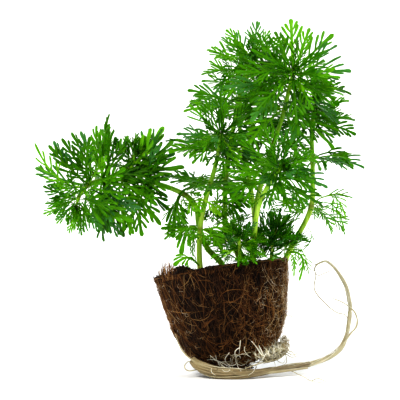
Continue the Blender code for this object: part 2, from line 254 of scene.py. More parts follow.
bpy.ops.object.select_all(action="DESELECT")
bpy.ops.mesh.primitive_circle_add(vertices=BODY_SIDES, radius=(PLUG_OUTLINE[0, 0] - BODY_INSET) * MM,
                                  fill_type="NGON", location=(0.0, 0.0, PLUG_OUTLINE[0, 1] * MM))
body = bpy.context.object
bpy.ops.object.transform_apply(location=True)
bpy.ops.object.mode_set(mode="EDIT")
bpy.ops.mesh.select_mode(type="EDGE")
bpy.ops.mesh.select_all(action="SELECT")
rings = [(radius - BODY_INSET, height) for radius, height in [*PLUG_OUTLINE[:-1], *PLUG_DOME]]
for (radius, height), (next_radius, next_height) in zip(rings, rings[1:]):
    bpy.ops.mesh.extrude_edges_move(TRANSFORM_OT_translate={"value": (0.0, 0.0, (next_height - height) * MM)})
    bpy.ops.transform.resize(value=(next_radius / radius, next_radius / radius, 1.0))
bpy.ops.mesh.edge_face_add()
bpy.ops.mesh.select_all(action="SELECT")
bpy.ops.mesh.normals_make_consistent(inside=False)
bpy.ops.object.mode_set(mode="OBJECT")
put_in_order(body.data)
rounding = body.modifiers.new("rounding", "SUBSURF")
rounding.levels = BODY_ROUNDING
rounding.render_levels = BODY_ROUNDING
bpy.ops.object.modifier_apply(modifier="rounding")
clouds = bpy.data.textures.new("coir_lumps", "CLOUDS")
clouds.noise_scale = LUMP_SIZE * MM
lumps = body.modifiers.new("lumps", "DISPLACE")
lumps.texture = clouds
lumps.strength = LUMP_DEPTH * MM
bpy.ops.object.modifier_apply(modifier="lumps")
body.rotation_euler = PLUG_LEAN
body.location = PLUG_FOOT * MM
bpy.ops.object.transform_apply(location=True, rotation=True)
bpy.ops.object.shade_smooth()
put_in_place(body, "coir_body", earth, "coir", "coir_plug")

# The fibres of the plug: thousands of coconut hairs pressed into its side. The dark ones run up and down,
# rust-red ones lie over them, tan ones cross both in arcs, and a fuzz stands out, most of it on the right,
# where its extra pale strands are a painted sheen of light grazing that side. The fibres' shades are painted
# lighter towards both sides of the plug, more so on the right, and darker in its middle: painted light and
# shade.
FibreKind = namedtuple("FibreKind", "count points length slant curl thickness lift shades side")
ALL_ROUND = (0, 180)
# Painted sheen: the span round the plug's right side where extra pale fuzz stands in for light grazing it.
SHEEN_ON_RIGHT = (-45, 60)
COIR_LAYERS = {
    "coir_dark": [FibreKind(1900, 7, (9, 26), 0.28, 0.5, (0.17, 0.32), (-0.5, 0.3), (0.0, 0.42), ALL_ROUND)],
    "coir_bright": [FibreKind(1400, 8, (6, 22), 0.28, 0.6, (0.13, 0.25), (0.2, 1.1), (0.36, 0.76), ALL_ROUND),
                    FibreKind(330, 11, (5, 18), 0.9, 1.8, (0.13, 0.22), (0.6, 1.4), (0.66, 0.93), ALL_ROUND),
                    FibreKind(1700, 4, (1, 3.5), 1.6, 1.2, (0.07, 0.13), (0.5, 1.8), (0.55, 1.0), ALL_ROUND),
                    FibreKind(1200, 4, (1, 3.5), 1.3, 1.0, (0.07, 0.12), (0.6, 1.8), (0.6, 0.95), SHEEN_ON_RIGHT)],
}
ODD_WAY = (0.31, 0.82, 0.48)
FIBRE_STARTS = (-0.3, 0.95)
FIBRE_WANDER = 0.14
FIBRE_SINK = 0.35
# Painted light and shade: how much paler fibres are made towards the plug's sides and on its right, and where
# its darker middle ends.
SIDE_PAINTED_LIGHT = 0.2
RIGHT_PAINTED_LIGHT = 0.14
PAINTED_SHADE_MIDDLE = 0.6
PLUG_MIDDLE_X = -2.7
COIR_COLOURS = [(0.0, (0.004, 0.0015, 0.001)), (0.35, (0.020, 0.008, 0.003)), (0.58, (0.10, 0.038, 0.011)),
                (0.76, (0.28, 0.125, 0.034)), (0.92, (0.48, 0.31, 0.13)), (1.0, (0.75, 0.64, 0.47))]
random = np.random.default_rng(11)
outline_reach = np.concatenate([[0.0], np.cumsum(np.hypot(*np.diff(PLUG_OUTLINE, axis=0).T))])
outline_slope = np.gradient(PLUG_OUTLINE, outline_reach, axis=0)
plug_turn = np.array(PLUG_LEAN.to_matrix())


def on_plug(up, angle, lift):
    """Places on the plug: how far up its outline from the foot, at what angle round it, and how far out."""
    out_r = np.interp(up, outline_reach, outline_slope[:, 1])
    out_h = -np.interp(up, outline_reach, outline_slope[:, 0])
    past_rim = np.maximum(up - outline_reach[-1], 0.0)
    radius = np.interp(up, outline_reach, PLUG_OUTLINE[:, 0]) + lift * out_r
    height = np.interp(up, outline_reach, PLUG_OUTLINE[:, 1]) + lift * out_h + past_rim
    places = np.stack([radius * np.cos(angle), radius * np.sin(angle), height], axis=-1)
    return places @ plug_turn.T + PLUG_FOOT


def strand_mesh(name, lines, radii, shades, sides):
    """Round strands as one mesh. Lines has strands by points by 3 numbers, radii strands by points."""
    count, points = lines.shape[:2]
    along = np.gradient(lines, axis=1)
    along /= np.linalg.norm(along, axis=2, keepdims=True) + 1e-9
    side = np.cross(along[:, 0], ODD_WAY)
    sideways = np.empty_like(lines)
    for point in range(points):
        side -= (side * along[:, point]).sum(axis=1, keepdims=True) * along[:, point]
        side /= np.linalg.norm(side, axis=1, keepdims=True) + 1e-9
        sideways[:, point] = side
    upward = np.cross(along, sideways)
    turns = np.arange(sides)[:, None] * 2 * math.pi / sides
    rings = np.cos(turns) * sideways[:, :, None] + np.sin(turns) * upward[:, :, None]
    places = lines[:, :, None] + rings * radii[:, :, None, None]
    corner = np.arange(sides)
    following = (corner + 1) % sides
    first = (np.arange(count)[:, None, None] * points + np.arange(points - 1)[:, None]) * sides
    beyond = first + sides
    walls = np.stack([first + corner, first + following, beyond + following, beyond + corner], axis=-1)
    start = np.arange(count)[:, None] * points * sides
    starts = start + corner[::-1]
    ends = start + (points - 1) * sides + corner
    faces = walls.reshape(-1, 4).tolist() + starts.tolist() + ends.tolist()
    piece = new_piece(name, places.reshape(-1, 3), faces)
    give_values(piece, "shade", np.repeat(shades, points * sides))
    piece.data.shade_smooth()
    return piece


def tapered(thickness, points, start=0.8, end=0.3):
    """The radius at each point of strands that are thickest a third of the way along."""
    share = np.interp(np.linspace(0.0, 1.0, points), [0.0, 0.3, 1.0], [start, 1.0, end])
    return np.asarray(thickness)[:, None] / 2 * share


def fibre_lines(kind):
    """Fibres of one kind that wander over the plug's side, from starts all the way up it."""
    length = random.uniform(*kind.length, kind.count)
    heading = random.normal(0.0, kind.slant, kind.count)[:, None]
    curl = random.normal(0.0, kind.curl, kind.count)[:, None]
    heading = heading + curl * np.linspace(-0.5, 0.5, kind.points)
    heading = heading + np.cumsum(random.normal(0.0, FIBRE_WANDER, (kind.count, kind.points)), axis=1)
    step = (length / (kind.points - 1))[:, None]
    start = random.uniform(*FIBRE_STARTS, kind.count)[:, None] * outline_reach[-1]
    up = start + np.cumsum(step * np.cos(heading), axis=1)
    up = np.clip(up, 0.0, outline_reach[-1] + random.uniform(-0.6, 1.0, kind.count)[:, None])
    radius = np.interp(up, outline_reach, PLUG_OUTLINE[:, 0])
    middle, half = np.radians(kind.side)
    angle = random.uniform(middle - half, middle + half, kind.count)[:, None]
    angle = angle + np.cumsum(step * np.sin(heading) / radius, axis=1)
    rise = np.sin(np.linspace(0.0, math.pi, kind.points)) * random.uniform(*kind.lift, kind.count)[:, None]
    return on_plug(up, angle, rise - FIBRE_SINK)


def strand_colours(nodes, links, patches, patch_share, drop, colours):
    """Colours of strands: a ramp read at each strand's own shade, moved up and down by patches of noise."""
    shade = worked_out(nodes, links, "SUBTRACT", attribute(nodes, "shade"), drop)
    place = worked_out(nodes, links, "MULTIPLY_ADD", patches, patch_share, shade)
    return colour_ramp(nodes, links, place, colours)


coir, shader, nodes, links = new_finish("coir_fibre", 0.7)
patches = fine_noise(nodes, links, 260.0, 3.0)
links.new(strand_colours(nodes, links, patches, 0.3, 0.15, COIR_COLOURS), shader.inputs["Base Color"])
shader.inputs["Specular IOR Level"].default_value = 0.3

for name, kinds in COIR_LAYERS.items():
    parts = []
    for kind in kinds:
        lines = fibre_lines(kind)
        radii = tapered(random.uniform(*kind.thickness, kind.count), kind.points)
        # Painted light and shade: fibres towards the plug's sides get paler shades, those on the right more
        # so, and those in the middle darker ones.
        aside = (lines[:, kind.points // 2, 0] - PLUG_MIDDLE_X) / PLUG_OUTLINE[-1, 0]
        painted_lightness = SIDE_PAINTED_LIGHT * (np.abs(aside) - PAINTED_SHADE_MIDDLE) + RIGHT_PAINTED_LIGHT * np.maximum(aside, 0.0)
        shades = random.uniform(*kind.shades, kind.count) + painted_lightness
        parts.append(strand_mesh(name, lines, radii, shades, 3))
    bpy.ops.object.select_all(action="DESELECT")
    for part in parts:
        part.select_set(True)
    bpy.context.view_layer.objects.active = parts[0]
    if len(parts) > 1:
        bpy.ops.object.join()
    put_in_place(parts[0], name, coir, "coir", "coir_plug")

# The top of the plug: dark crumbs of growing medium between loose fibres, a ragged rim of bristles, and on
# the left of the front a heap of clods with taller bristles that has been pushed up over the rim.
TOP_DOME = 1.2
TOP_FIBRES = 520
BRISTLES = 620
BRISTLE_FOOT = 1.5
LEFT_BRISTLE_SHARE = 0.35
LEFT_ANGLE = math.pi + 0.5
HEAP_BRISTLES = 70
CRUMBS = 700
CRUMB_SIZE = (0.4, 1.3)
CRUMB_ROUGHNESS = 0.12
RIM_CLODS = 420
HEAP_CLODS = 240
HEAP_ANGLE = math.radians(-131)
HEAP_HEIGHT = 2.7


def on_top(x, y, lift):
    """Places on the plug's domed top, from places on its flat rim."""
    share = (np.hypot(x, y) / PLUG_OUTLINE[-1, 0]) ** 2
    height = PLUG_OUTLINE[-1, 1] + TOP_DOME * (1 - share) + lift
    return np.stack([x, y, height], axis=-1) @ plug_turn.T + PLUG_FOOT


def top_lines(count, points):
    """Loose fibres that lie on the plug's top, each turning a little, and stay inside its rim."""
    radius = PLUG_OUTLINE[-1, 0] * np.sqrt(random.uniform(0.0, 1.0, count))[:, None]
    angle = random.uniform(0.0, 2 * math.pi, count)[:, None]
    heading = random.uniform(0.0, 2 * math.pi, count)[:, None]
    heading = heading + random.normal(0.0, 1.2, count)[:, None] * np.linspace(-0.5, 0.5, points)
    step = random.uniform(4.0, 12.0, count)[:, None] / (points - 1)
    x = radius * np.cos(angle) + np.cumsum(step * np.cos(heading), axis=1)
    y = radius * np.sin(angle) + np.cumsum(step * np.sin(heading), axis=1)
    inside = np.minimum(1.0, PLUG_OUTLINE[-1, 0] / (np.hypot(x, y) + 1e-9))
    lift = np.sin(np.linspace(0.0, math.pi, points)) * random.uniform(0.0, 1.3, count)[:, None]
    return on_top(x * inside, y * inside, lift - 0.2)


def bristle_lines(angle, length, points):
    """Hairs that stand on the rim at the given angles."""
    count = len(angle)
    share = np.linspace(0.0, 1.0, points)
    up = outline_reach[-1] - BRISTLE_FOOT + (length + BRISTLE_FOOT)[:, None] * share
    sway = random.normal(0.0, 0.03, count)[:, None] * share
    sway = sway + random.normal(0.0, 0.02, count)[:, None] * share ** 2
    lift = random.uniform(-1.6, 0.3, count)[:, None] + random.normal(0.0, 0.8, count)[:, None] * share ** 2
    return on_plug(up, angle[:, None] + sway, lift)


lying = strand_mesh("coir_top", top_lines(TOP_FIBRES, 8), tapered(random.uniform(0.14, 0.28, TOP_FIBRES), 8),
                    random.uniform(0.1, 0.75, TOP_FIBRES), 3)
rim_angle = np.where(random.uniform(0, 1, BRISTLES) < LEFT_BRISTLE_SHARE,
                     random.normal(LEFT_ANGLE, 0.5, BRISTLES), random.uniform(0.0, 2 * math.pi, BRISTLES))
rim_length = random.gamma(2.0, 0.38, BRISTLES)
heap_angle = HEAP_ANGLE + random.normal(-0.22, 0.13, HEAP_BRISTLES)
heap_length = random.uniform(1.5, 6.2, HEAP_BRISTLES)
standing_lines = [bristle_lines(rim_angle, rim_length, 6), bristle_lines(heap_angle, heap_length, 6)]
thickness = [random.uniform(0.16, 0.36, BRISTLES), random.uniform(0.24, 0.46, HEAP_BRISTLES)]
shades = [random.uniform(0.25, 0.78, BRISTLES), random.uniform(0.5, 0.82, HEAP_BRISTLES)]
standing = strand_mesh("coir_rim", np.concatenate(standing_lines), tapered(np.concatenate(thickness), 6),
                       np.concatenate(shades), 3)
put_in_place(lying, "coir_top", coir, "coir", "coir_plug")
put_in_place(standing, "coir_rim", coir, "coir", "coir_plug")

bpy.ops.object.select_all(action="DESELECT")
bpy.ops.mesh.primitive_ico_sphere_add(subdivisions=1, radius=0.5)
crumb = bpy.context.object
bpy.ops.object.mode_set(mode="EDIT")
bpy.ops.transform.vertex_random(offset=CRUMB_ROUGHNESS, seed=3)
bpy.ops.object.mode_set(mode="OBJECT")
crumb_points = np.array([vertex.co for vertex in crumb.data.vertices])
crumb_faces = np.array([list(face.vertices) for face in crumb.data.polygons])
bpy.data.objects.remove(crumb)
rim_radius = PLUG_OUTLINE[-1, 0]
radius = np.concatenate([(rim_radius - 0.6) * np.sqrt(random.uniform(0.0, 1.0, CRUMBS)),
                         rim_radius - random.uniform(0.0, 1.6, RIM_CLODS),
                         rim_radius - random.uniform(0.2, 5.0, HEAP_CLODS)])
angle = np.concatenate([random.uniform(0.0, 2 * math.pi, CRUMBS + RIM_CLODS),
                        HEAP_ANGLE + random.normal(0.0, 0.12, HEAP_CLODS)])
heap_top = HEAP_HEIGHT * np.exp(-((angle[-HEAP_CLODS:] - HEAP_ANGLE) / 0.16) ** 2)
lift = np.concatenate([random.uniform(0.0, 0.35, CRUMBS), random.uniform(-0.9, 0.7, RIM_CLODS),
                       heap_top * random.uniform(0.0, 1.0, HEAP_CLODS)])
size = np.concatenate([random.uniform(*CRUMB_SIZE, CRUMBS) ** 1.5, random.uniform(0.5, 1.5, RIM_CLODS),
                       random.uniform(0.7, 2.0, HEAP_CLODS)])
centres = on_top(radius * np.cos(angle), radius * np.sin(angle), lift)
squash = random.uniform(0.6, 1.2, (len(size), 1, 3))
points = centres[:, None] + crumb_points * size[:, None, None] * squash
faces = crumb_faces + np.arange(len(size))[:, None, None] * len(crumb_points)
crumbs = new_piece("crumbs", points.reshape(-1, 3), faces.reshape(-1, 3).tolist())
put_in_place(crumbs, "growing_medium", earth, "coir", "coir_plug")

# The roots under the plug: a flat springy mat that it stands on, nearly all brown with coir, and the pale
# fringe that fills the space under its lifted right side and ends in a tuft.
MAT_CENTRE = np.array((-3.6, -0.5, 3.2))
MAT_HALF_SIZE = np.array((10.4, 10.8, 2.9))
MAT_DARK_STRANDS = 440
MAT_PALE_STRANDS = 50
ROOT_FLOOR = 0.25
FRINGE_CENTRE = np.array((14.4, -5.2, 8.8))
FRINGE_HALF_SIZE = np.array((6.2, 8.5, 2.7))
FRINGE_TILT = math.radians(24)
FRINGE_STRANDS = 620
TUFT_CENTRE = np.array((18.7, -5.0, 13.4))
TUFT_HALF_SIZE = np.array((1.7, 2.6, 2.0))
TUFT_STRANDS = 60
ROOT_COLOURS = [(0.0, (0.03, 0.016, 0.008)), (0.3, (0.12, 0.085, 0.045)), (0.55, (0.27, 0.21, 0.105)),
                (0.8, (0.46, 0.41, 0.26)), (1.0, (0.76, 0.73, 0.61))]

root, shader, nodes, links = new_finish("root", 0.5)
patches = fine_noise(nodes, links, 220.0, 4.0)
links.new(strand_colours(nodes, links, patches, 0.35, 0.18, ROOT_COLOURS), shader.inputs["Base Color"])
bumps(nodes, links, shader, fine_noise(nodes, links, 1800.0, 3.0), 0.15, 0.5)
let_light_in(shader, 0.15, (1.0, 0.7, 0.4), 0.6)


def tangle_lines(count, points, length, centre, half_size, curl, lowest=ROOT_FLOOR):
    """Roots that wander about in a ragged lump, no lower than the lowest height."""
    half_size = half_size * random.uniform(0.6, 1.15, (count, 1))
    way = random.normal(0.0, 1.0, (count, 3)) * half_size
    way /= np.linalg.norm(way, axis=1, keepdims=True)
    turn = np.cross(way, random.normal(0.0, 1.0, (count, 3)))
    place = random.normal(0.0, 1.0, (count, 3))
    place *= (random.uniform(0.25, 1.0, count) ** 0.4 / np.linalg.norm(place, axis=1))[:, None]
    place = centre + place * half_size
    step = (random.uniform(*length, count) / (points - 1))[:, None]
    lines = np.empty((count, points, 3))
    for point in range(points):
        lines[:, point] = place
        way = way + turn * curl / points + random.normal(0.0, 0.12, (count, 3))
        way /= np.linalg.norm(way, axis=1, keepdims=True)
        place = place + way * step
        off = (place - centre) / half_size
        place = centre + off / np.maximum(1.0, np.linalg.norm(off, axis=1, keepdims=True)) * half_size
        place[:, 2] = np.maximum(place[:, 2], lowest)
    return lines


lines = tangle_lines(MAT_DARK_STRANDS, 12, (10, 26), MAT_CENTRE, MAT_HALF_SIZE, 5.0)
mat_dark = strand_mesh("root_mat_dark", lines, tapered(random.uniform(0.2, 0.38, MAT_DARK_STRANDS), 12),
                       random.uniform(0.2, 0.72, MAT_DARK_STRANDS), 3)
put_in_place(mat_dark, "root_mat_dark", coir, "root", "root_mat")
lines = tangle_lines(MAT_PALE_STRANDS, 14, (8, 20), MAT_CENTRE, MAT_HALF_SIZE, 4.0)
mat_pale = strand_mesh("root_mat_pale", lines, tapered(random.uniform(0.2, 0.36, MAT_PALE_STRANDS), 14),
                       random.uniform(0.2, 0.7, MAT_PALE_STRANDS), 4)
put_in_place(mat_pale, "root_mat_pale", root, "root", "root_mat")

tilt = np.array(Euler((0.0, -FRINGE_TILT, 0.0)).to_matrix())
level_lines = tangle_lines(FRINGE_STRANDS, 11, (4, 11), np.zeros(3), FRINGE_HALF_SIZE, 9.0, -np.inf)
fringe_lines = level_lines @ tilt.T + FRINGE_CENTRE
tuft_lines = tangle_lines(TUFT_STRANDS, 11, (4, 9), TUFT_CENTRE, TUFT_HALF_SIZE, 6.0)
thickness = [random.uniform(0.14, 0.34, FRINGE_STRANDS), random.uniform(0.14, 0.24, TUFT_STRANDS)]
fringe = strand_mesh("root_fringe_strands", np.concatenate([fringe_lines, tuft_lines]),
                     tapered(np.concatenate(thickness), 11),
                     random.uniform(0.55, 1.02, FRINGE_STRANDS + TUFT_STRANDS), 3)
put_in_place(fringe, "root_fringe_strands", root, "root", "root_fringe")

# The trailing roots: one cream bundle of thick and thin strands that comes out on the left, lies along the
# floor round the front, and springs up on the right into a hooked end with loose threads on it.
BUNDLE_ROUTE = [(-15.8, -9.5, 6.2), (-13.2, -13.6, 4.4), (-6, -17.2, 2.3), (2.7, -17.8, 2), (8.5, -15.2, 2.2),
                (14, -10, 2.7), (22, -3, 3.1), (28, 3, 3.5)]
CURL_ROUTE = [(29.4, 4.2, 3.8), (34.1, 7.6, 5.1), (37.9, 9.3, 6.9), (40.8, 9.8, 9.7), (42.8, 10, 13.8),
              (43.6, 10, 18.6), (44, 10, 23.3), (43.6, 10, 27.9), (42.1, 9, 33.2), (39, 7, 38.7),
              (35.2, 5, 42.5), (32.4, 3, 42.3), (30.7, 2, 41.2), (29.9, 1, 39.3)]
OFFSHOOT_ROUTE = [(44.2, 7.4, 14.6), (46.1, 5.6, 17.2), (46.6, 4.8, 20.2), (45.6, 4.6, 23.4), (43, 4.8, 25.8),
                  (40.4, 5.2, 27.3), (37.5, 6, 28.4)]
CURL_THREADS = [[(30.2, 1, 39.6), (30.7, 1, 37.4), (30.1, 1, 32.5), (33.2, 3, 27.9), (38.3, 6, 23.3),
                 (42.1, 8, 22), (43.6, 9.8, 19.5)],
                [(30.2, 1, 38.2), (31.8, 1, 37.6), (33.7, 2, 38.2), (37, 3, 39.5)],
                [(32.4, 3, 42.3), (31.2, 2, 41.8), (29.2, 1, 41.9)]]
BUNDLE_THREADS = [[(-13.6, -12, 3.2), (-17.1, -12, 2.5), (-18.8, -12, 3.2), (-19, -11, 4.7),
                   (-17.5, -10, 5.9), (-14.8, -9.5, 5.9)],
                  [(-22.6, -9, 16.3), (-21.3, -10, 12.7), (-20.3, -11, 10.3), (-18, -12, 7.8),
                   (-15.5, -13, 6.2), (-12, -14.4, 4.6)],
                  [(14, -10.6, 2.6), (20.8, -6, 1.9), (23.5, -9, 1), (25.9, -14, 0.4), (28.4, -28, 0.3),
                   (32.9, -35, 0.3)],
                  [(28.4, -26, 0.3), (31, -18, 0.3), (33.8, -31, 0.3)],
                  [(8.5, -15.4, 1.9), (17.1, -9.5, 2.1), (22.5, -5, 2.3), (27.5, -0.8, 2.5)],
                  [(-21.4, -7, 12.6), (-19.5, -9, 9.5), (-16.9, -11.5, 7.2), (-14, -13.5, 5.6)]]
BUNDLE_THICK = 16
BUNDLE_THIN = 34
BUNDLE_POINTS = 54
BUNDLE_END = 48
BUNDLE_RADII = ([0.0, 0.12, 0.35, 0.5, 1.0], [1.3, 1.6, 1.5, 0.95, 0.8])
BUNDLE_THREAD_SIZES = [0.5, 0.36, 0.32, 0.28, 1.2, 0.34]
BUNDLE_THREAD_SHADES = [0.8, 0.7, 0.7, 0.7, 0.7, 0.7]
CURL_THICK = 7
CURL_THIN = 9
CURL_POINTS = 84
CURL_START = 10
CURL_SPREAD = ([0, 0.3, 0.7, 0.9, 1], [0.66, 0.55, 0.42, 0.14, 0.04])
CURL_RADII = ([0, 0.85, 0.93, 1], [0.5, 0.38, 0.3, 0.2])
CURL_THREAD_SIZES = [0.42, 0.3, 0.34]
CURL_THREAD_SHADES = [0.62, 0.64, 0.62]
OFFSHOOT_FOOT = [(38.6, 9.3, 7.6), (41.6, 9.3, 10.8)]
OFFSHOOT_STRANDS = 3
OFFSHOOT_POINTS = 40
OFFSHOOT_SHADES = [0.72, 0.8, 0.86]


def smooth_line(points, count):
    """Evenly spaced places on the smooth curve that runs through all the given ones."""
    route = np.array(points, dtype=float)
    ends = np.concatenate([[2 * route[0] - route[1]], route, [2 * route[-1] - route[-2]]])
    share = np.linspace(0.0, 1.0, 16, endpoint=False)[:, None]
    spans = []
    for before, start, end, after in zip(ends, ends[1:], ends[2:], ends[3:]):
        spans.append(0.5 * (2 * start + (end - before) * share
                            + (2 * before - 5 * start + 4 * end - after) * share ** 2
                            + (3 * start - before - 3 * end + after) * share ** 3))
    curve = np.concatenate([*spans, route[-1:]])
    reach = np.concatenate([[0.0], np.cumsum(np.linalg.norm(np.diff(curve, axis=0), axis=1))])
    return np.stack([np.interp(np.linspace(0.0, reach[-1], count), reach, axis) for axis in curve.T], axis=-1)


def twisted_lines(middle, radii, count, turns):
    """Strands that twist round a middle line, the first one on it and the rest spread about it."""
    points = len(middle)
    along = np.gradient(middle, axis=0)
    along /= np.linalg.norm(along, axis=1, keepdims=True)
    side = np.cross(along, (0.0, 0.0, 1.0))
    side /= np.linalg.norm(side, axis=1, keepdims=True)
    over = np.cross(side, along)
    share = np.linspace(0.0, 1.0, points)
    angle = random.uniform(0.0, 2 * math.pi, count)[:, None] + turns * 2 * math.pi * share
    angle = angle + random.normal(0.0, 0.5, count)[:, None] * np.sin(share * 2 * math.pi)
    off = np.sqrt(random.uniform(0.15, 1.0, count))[:, None] * radii
    off = off * (1 + 0.25 * np.sin(share * random.uniform(3.0, 11.0, count)[:, None]))
    return middle + off[..., None] * (np.cos(angle)[..., None] * side + np.sin(angle)[..., None] * over)


def stretches(lines, radii, shortest):
    """Let each strand start and end somewhere else along its line, by thinning it outside that stretch."""
    share = np.linspace(0.0, 1.0, lines.shape[1])
    start = random.uniform(-0.2, 1.0 - shortest, len(lines))[:, None]
    end = start + random.uniform(shortest, 1.3, len(lines))[:, None]
    inside = np.clip((share - start) * 12, 0, 1) * np.clip((end - share) * 12, 0, 1)
    return radii * np.maximum(inside, 0.04)


def threads_mesh(name, routes, points, sizes, ends, shades):
    """Single threads along routes of their own, each of its own thickness and shade."""
    lines = np.array([smooth_line(route, points) for route in routes])
    return strand_mesh(name, lines, tapered(sizes, points, *ends), np.array(shades), 6)


long_middle = smooth_line([*BUNDLE_ROUTE, *CURL_ROUTE[:2]], BUNDLE_POINTS)[:BUNDLE_END]
along = np.linspace(0.0, 1.0, BUNDLE_END)
spread = np.interp(along, *BUNDLE_RADII)
thick = twisted_lines(long_middle, spread, BUNDLE_THICK, 0.3)
thin = twisted_lines(long_middle, spread * 1.25, BUNDLE_THIN, 0.6)
thick_ends = np.clip((random.uniform(0.84, 1.12, (BUNDLE_THICK, 1)) - along) * 9, 0.1, 1.0)
thick_radii = np.linspace(0.52, 0.40, BUNDLE_END) * random.uniform(0.75, 1.25, (BUNDLE_THICK, 1)) * thick_ends
thin_radii = stretches(thin, random.uniform(0.10, 0.22, (BUNDLE_THIN, 1)) * np.ones(BUNDLE_END), 0.35)
lines = np.concatenate([thick, thin])
lines[..., 2] = np.maximum(lines[..., 2], 0.3)
shades = [random.uniform(0.46, 0.68, BUNDLE_THICK), random.uniform(0.35, 0.92, BUNDLE_THIN)]
bundle = strand_mesh("bundle", lines, np.concatenate([thick_radii, thin_radii]), np.concatenate(shades), 6)
put_in_place(bundle, "root_bundle_strands", root, "root", "root_bundle")
threads = threads_mesh("threads", BUNDLE_THREADS, 30, BUNDLE_THREAD_SIZES, (0.9, 0.6), BUNDLE_THREAD_SHADES)
put_in_place(threads, "root_bundle_threads", root, "root", "root_bundle")

curl_middle = smooth_line([*BUNDLE_ROUTE[-2:], *CURL_ROUTE], CURL_POINTS)[CURL_START:]
along = np.linspace(0, 1, len(curl_middle))
spread = np.interp(along, *CURL_SPREAD)
thick = twisted_lines(curl_middle, spread, CURL_THICK, 0.9)
thick_radii = np.interp(along, *CURL_RADII) * random.uniform(0.8, 1.1, (CURL_THICK, 1))
thin = twisted_lines(curl_middle, spread * 1.5, CURL_THIN, 1.5)
thin_radii = stretches(thin, random.uniform(0.1, 0.18, (CURL_THIN, 1)) * np.ones(len(curl_middle)), 0.3)
curl = strand_mesh("curl", np.concatenate([thick, thin]), np.concatenate([thick_radii, thin_radii]),
                   random.uniform(0.76, 0.97, CURL_THICK + CURL_THIN), 8)
put_in_place(curl, "root_curl_strands", root, "root", "root_curl")
threads = threads_mesh("threads", CURL_THREADS, 36, CURL_THREAD_SIZES, (0.9, 0.7), CURL_THREAD_SHADES)
put_in_place(threads, "root_curl_threads", root, "root", "root_curl")

offshoot_middle = smooth_line([*OFFSHOOT_FOOT, *OFFSHOOT_ROUTE], OFFSHOOT_POINTS)
lines = twisted_lines(offshoot_middle, np.linspace(0.35, 0.05, OFFSHOOT_POINTS), OFFSHOOT_STRANDS, 0.7)
radii = np.linspace(0.36, 0.15, OFFSHOOT_POINTS) * np.ones((OFFSHOOT_STRANDS, 1))
offshoot = strand_mesh("offshoot", lines, radii, np.array(OFFSHOOT_SHADES), 8)
put_in_place(offshoot, "root_offshoot_strands", root, "root", "root_offshoot")

# Loose pale roots on the front of the plug's foot: white arcs that come out of the coir and run down into the
# bundle, the bristly top of the fringe, its tuft, and two fine hairs that stand off the plug's right side.
FRONT_ARCS = [[(1.8, 14.8), (1.6, 12.2), (1.3, 9)],
              [(1.6, 12), (0.1, 10.9), (-0.2, 9.3), (0.6, 6.6), (0.8, 4.4), (2.1, 3.2)],
              [(-9.4, 8.5), (-7.4, 6.8), (-5.1, 5.7), (-3.1, 4.6), (-1.5, 3.9)],
              [(-2.3, 9.9), (-3.8, 7.6), (-3.4, 5.7), (-1.8, 4.6), (0.1, 5), (0.8, 6.7)],
              [(3.4, 12.2), (3.4, 10.6), (4.4, 9), (6, 7.6)],
              [(6, 14.3), (7.7, 12.2), (9.3, 9.6), (10.6, 7.6), (8.6, 5.3), (6.7, 3), (4.7, 1.6)],
              [(5.2, 8), (3.6, 9.2), (1.6, 9), (0.2, 7.8), (0.3, 5.6), (2.2, 4.6), (4, 5.2), (5, 6.8)],
              [(-7.4, 8.6), (-6.9, 6.4), (-5.6, 4.2)],
              [(7, 9.9), (7.9, 8.5), (9.6, 7.6)],
              [(-1.9, 7.6), (-1.7, 6.2), (-1.4, 4.9)],
              [(-1.1, 7.4), (-1.2, 6), (-0.8, 5)],
              [(-10.6, 6.5), (-8.4, 6.9), (-6.4, 5.9), (-4.6, 4.4), (-2.2, 3.4)],
              [(8.8, 12.4), (9.9, 10.4), (10.6, 8.6), (11.2, 7.2)],
              [(11.6, 9.8), (10.4, 7.8), (9.2, 6.2), (7.4, 5.2), (5.2, 4.6)]]
FRONT_ARC_SIZES = [0.36, 0.44, 0.4, 0.4, 0.4, 0.4, 0.34, 0.3, 0.34, 0.26, 0.26, 0.36, 0.38, 0.34]
FRONT_FIBRES = [[(-29.3, 36.1), (-26.4, 27.3), (-24.3, 20.4), (-22.5, 15.9)],
                [(-26.8, 37.1), (-25.7, 29.1), (-22.7, 19.6), (-20.2, 13)],
                [(-22, 35.6), (-19.1, 30.9), (-16.6, 31.2), (-15.1, 35.6)],
                [(-25, 25.1), (-20.5, 24.7), (-15.8, 25.4)],
                [(-4.5, 29.1), (-0.2, 29.9), (3.4, 32.3), (6.4, 30.9), (8.7, 31.6)],
                [(-11.8, 19.6), (-8.9, 22.5), (-5.3, 24)],
                [(1.3, 29.1), (3.4, 25.4), (8.6, 22.5), (11.5, 20.4)],
                [(9.3, 28.4), (14.4, 26.2), (16.6, 24.7)],
                [(-7.2, 24.2), (-12.1, 20), (-13.6, 15.1)],
                [(0.4, 29.9), (3.4, 32.5), (6.8, 29.9), (11.7, 30.3)],
                [(11.5, 33.4), (12.2, 27.6), (11.5, 21.8)]]
FRONT_FIBRE_SHADES = [0.8, 0.6, 0.66, 0.8, 0.66, 0.62, 0.6, 0.8, 0.56, 0.54, 0.66]
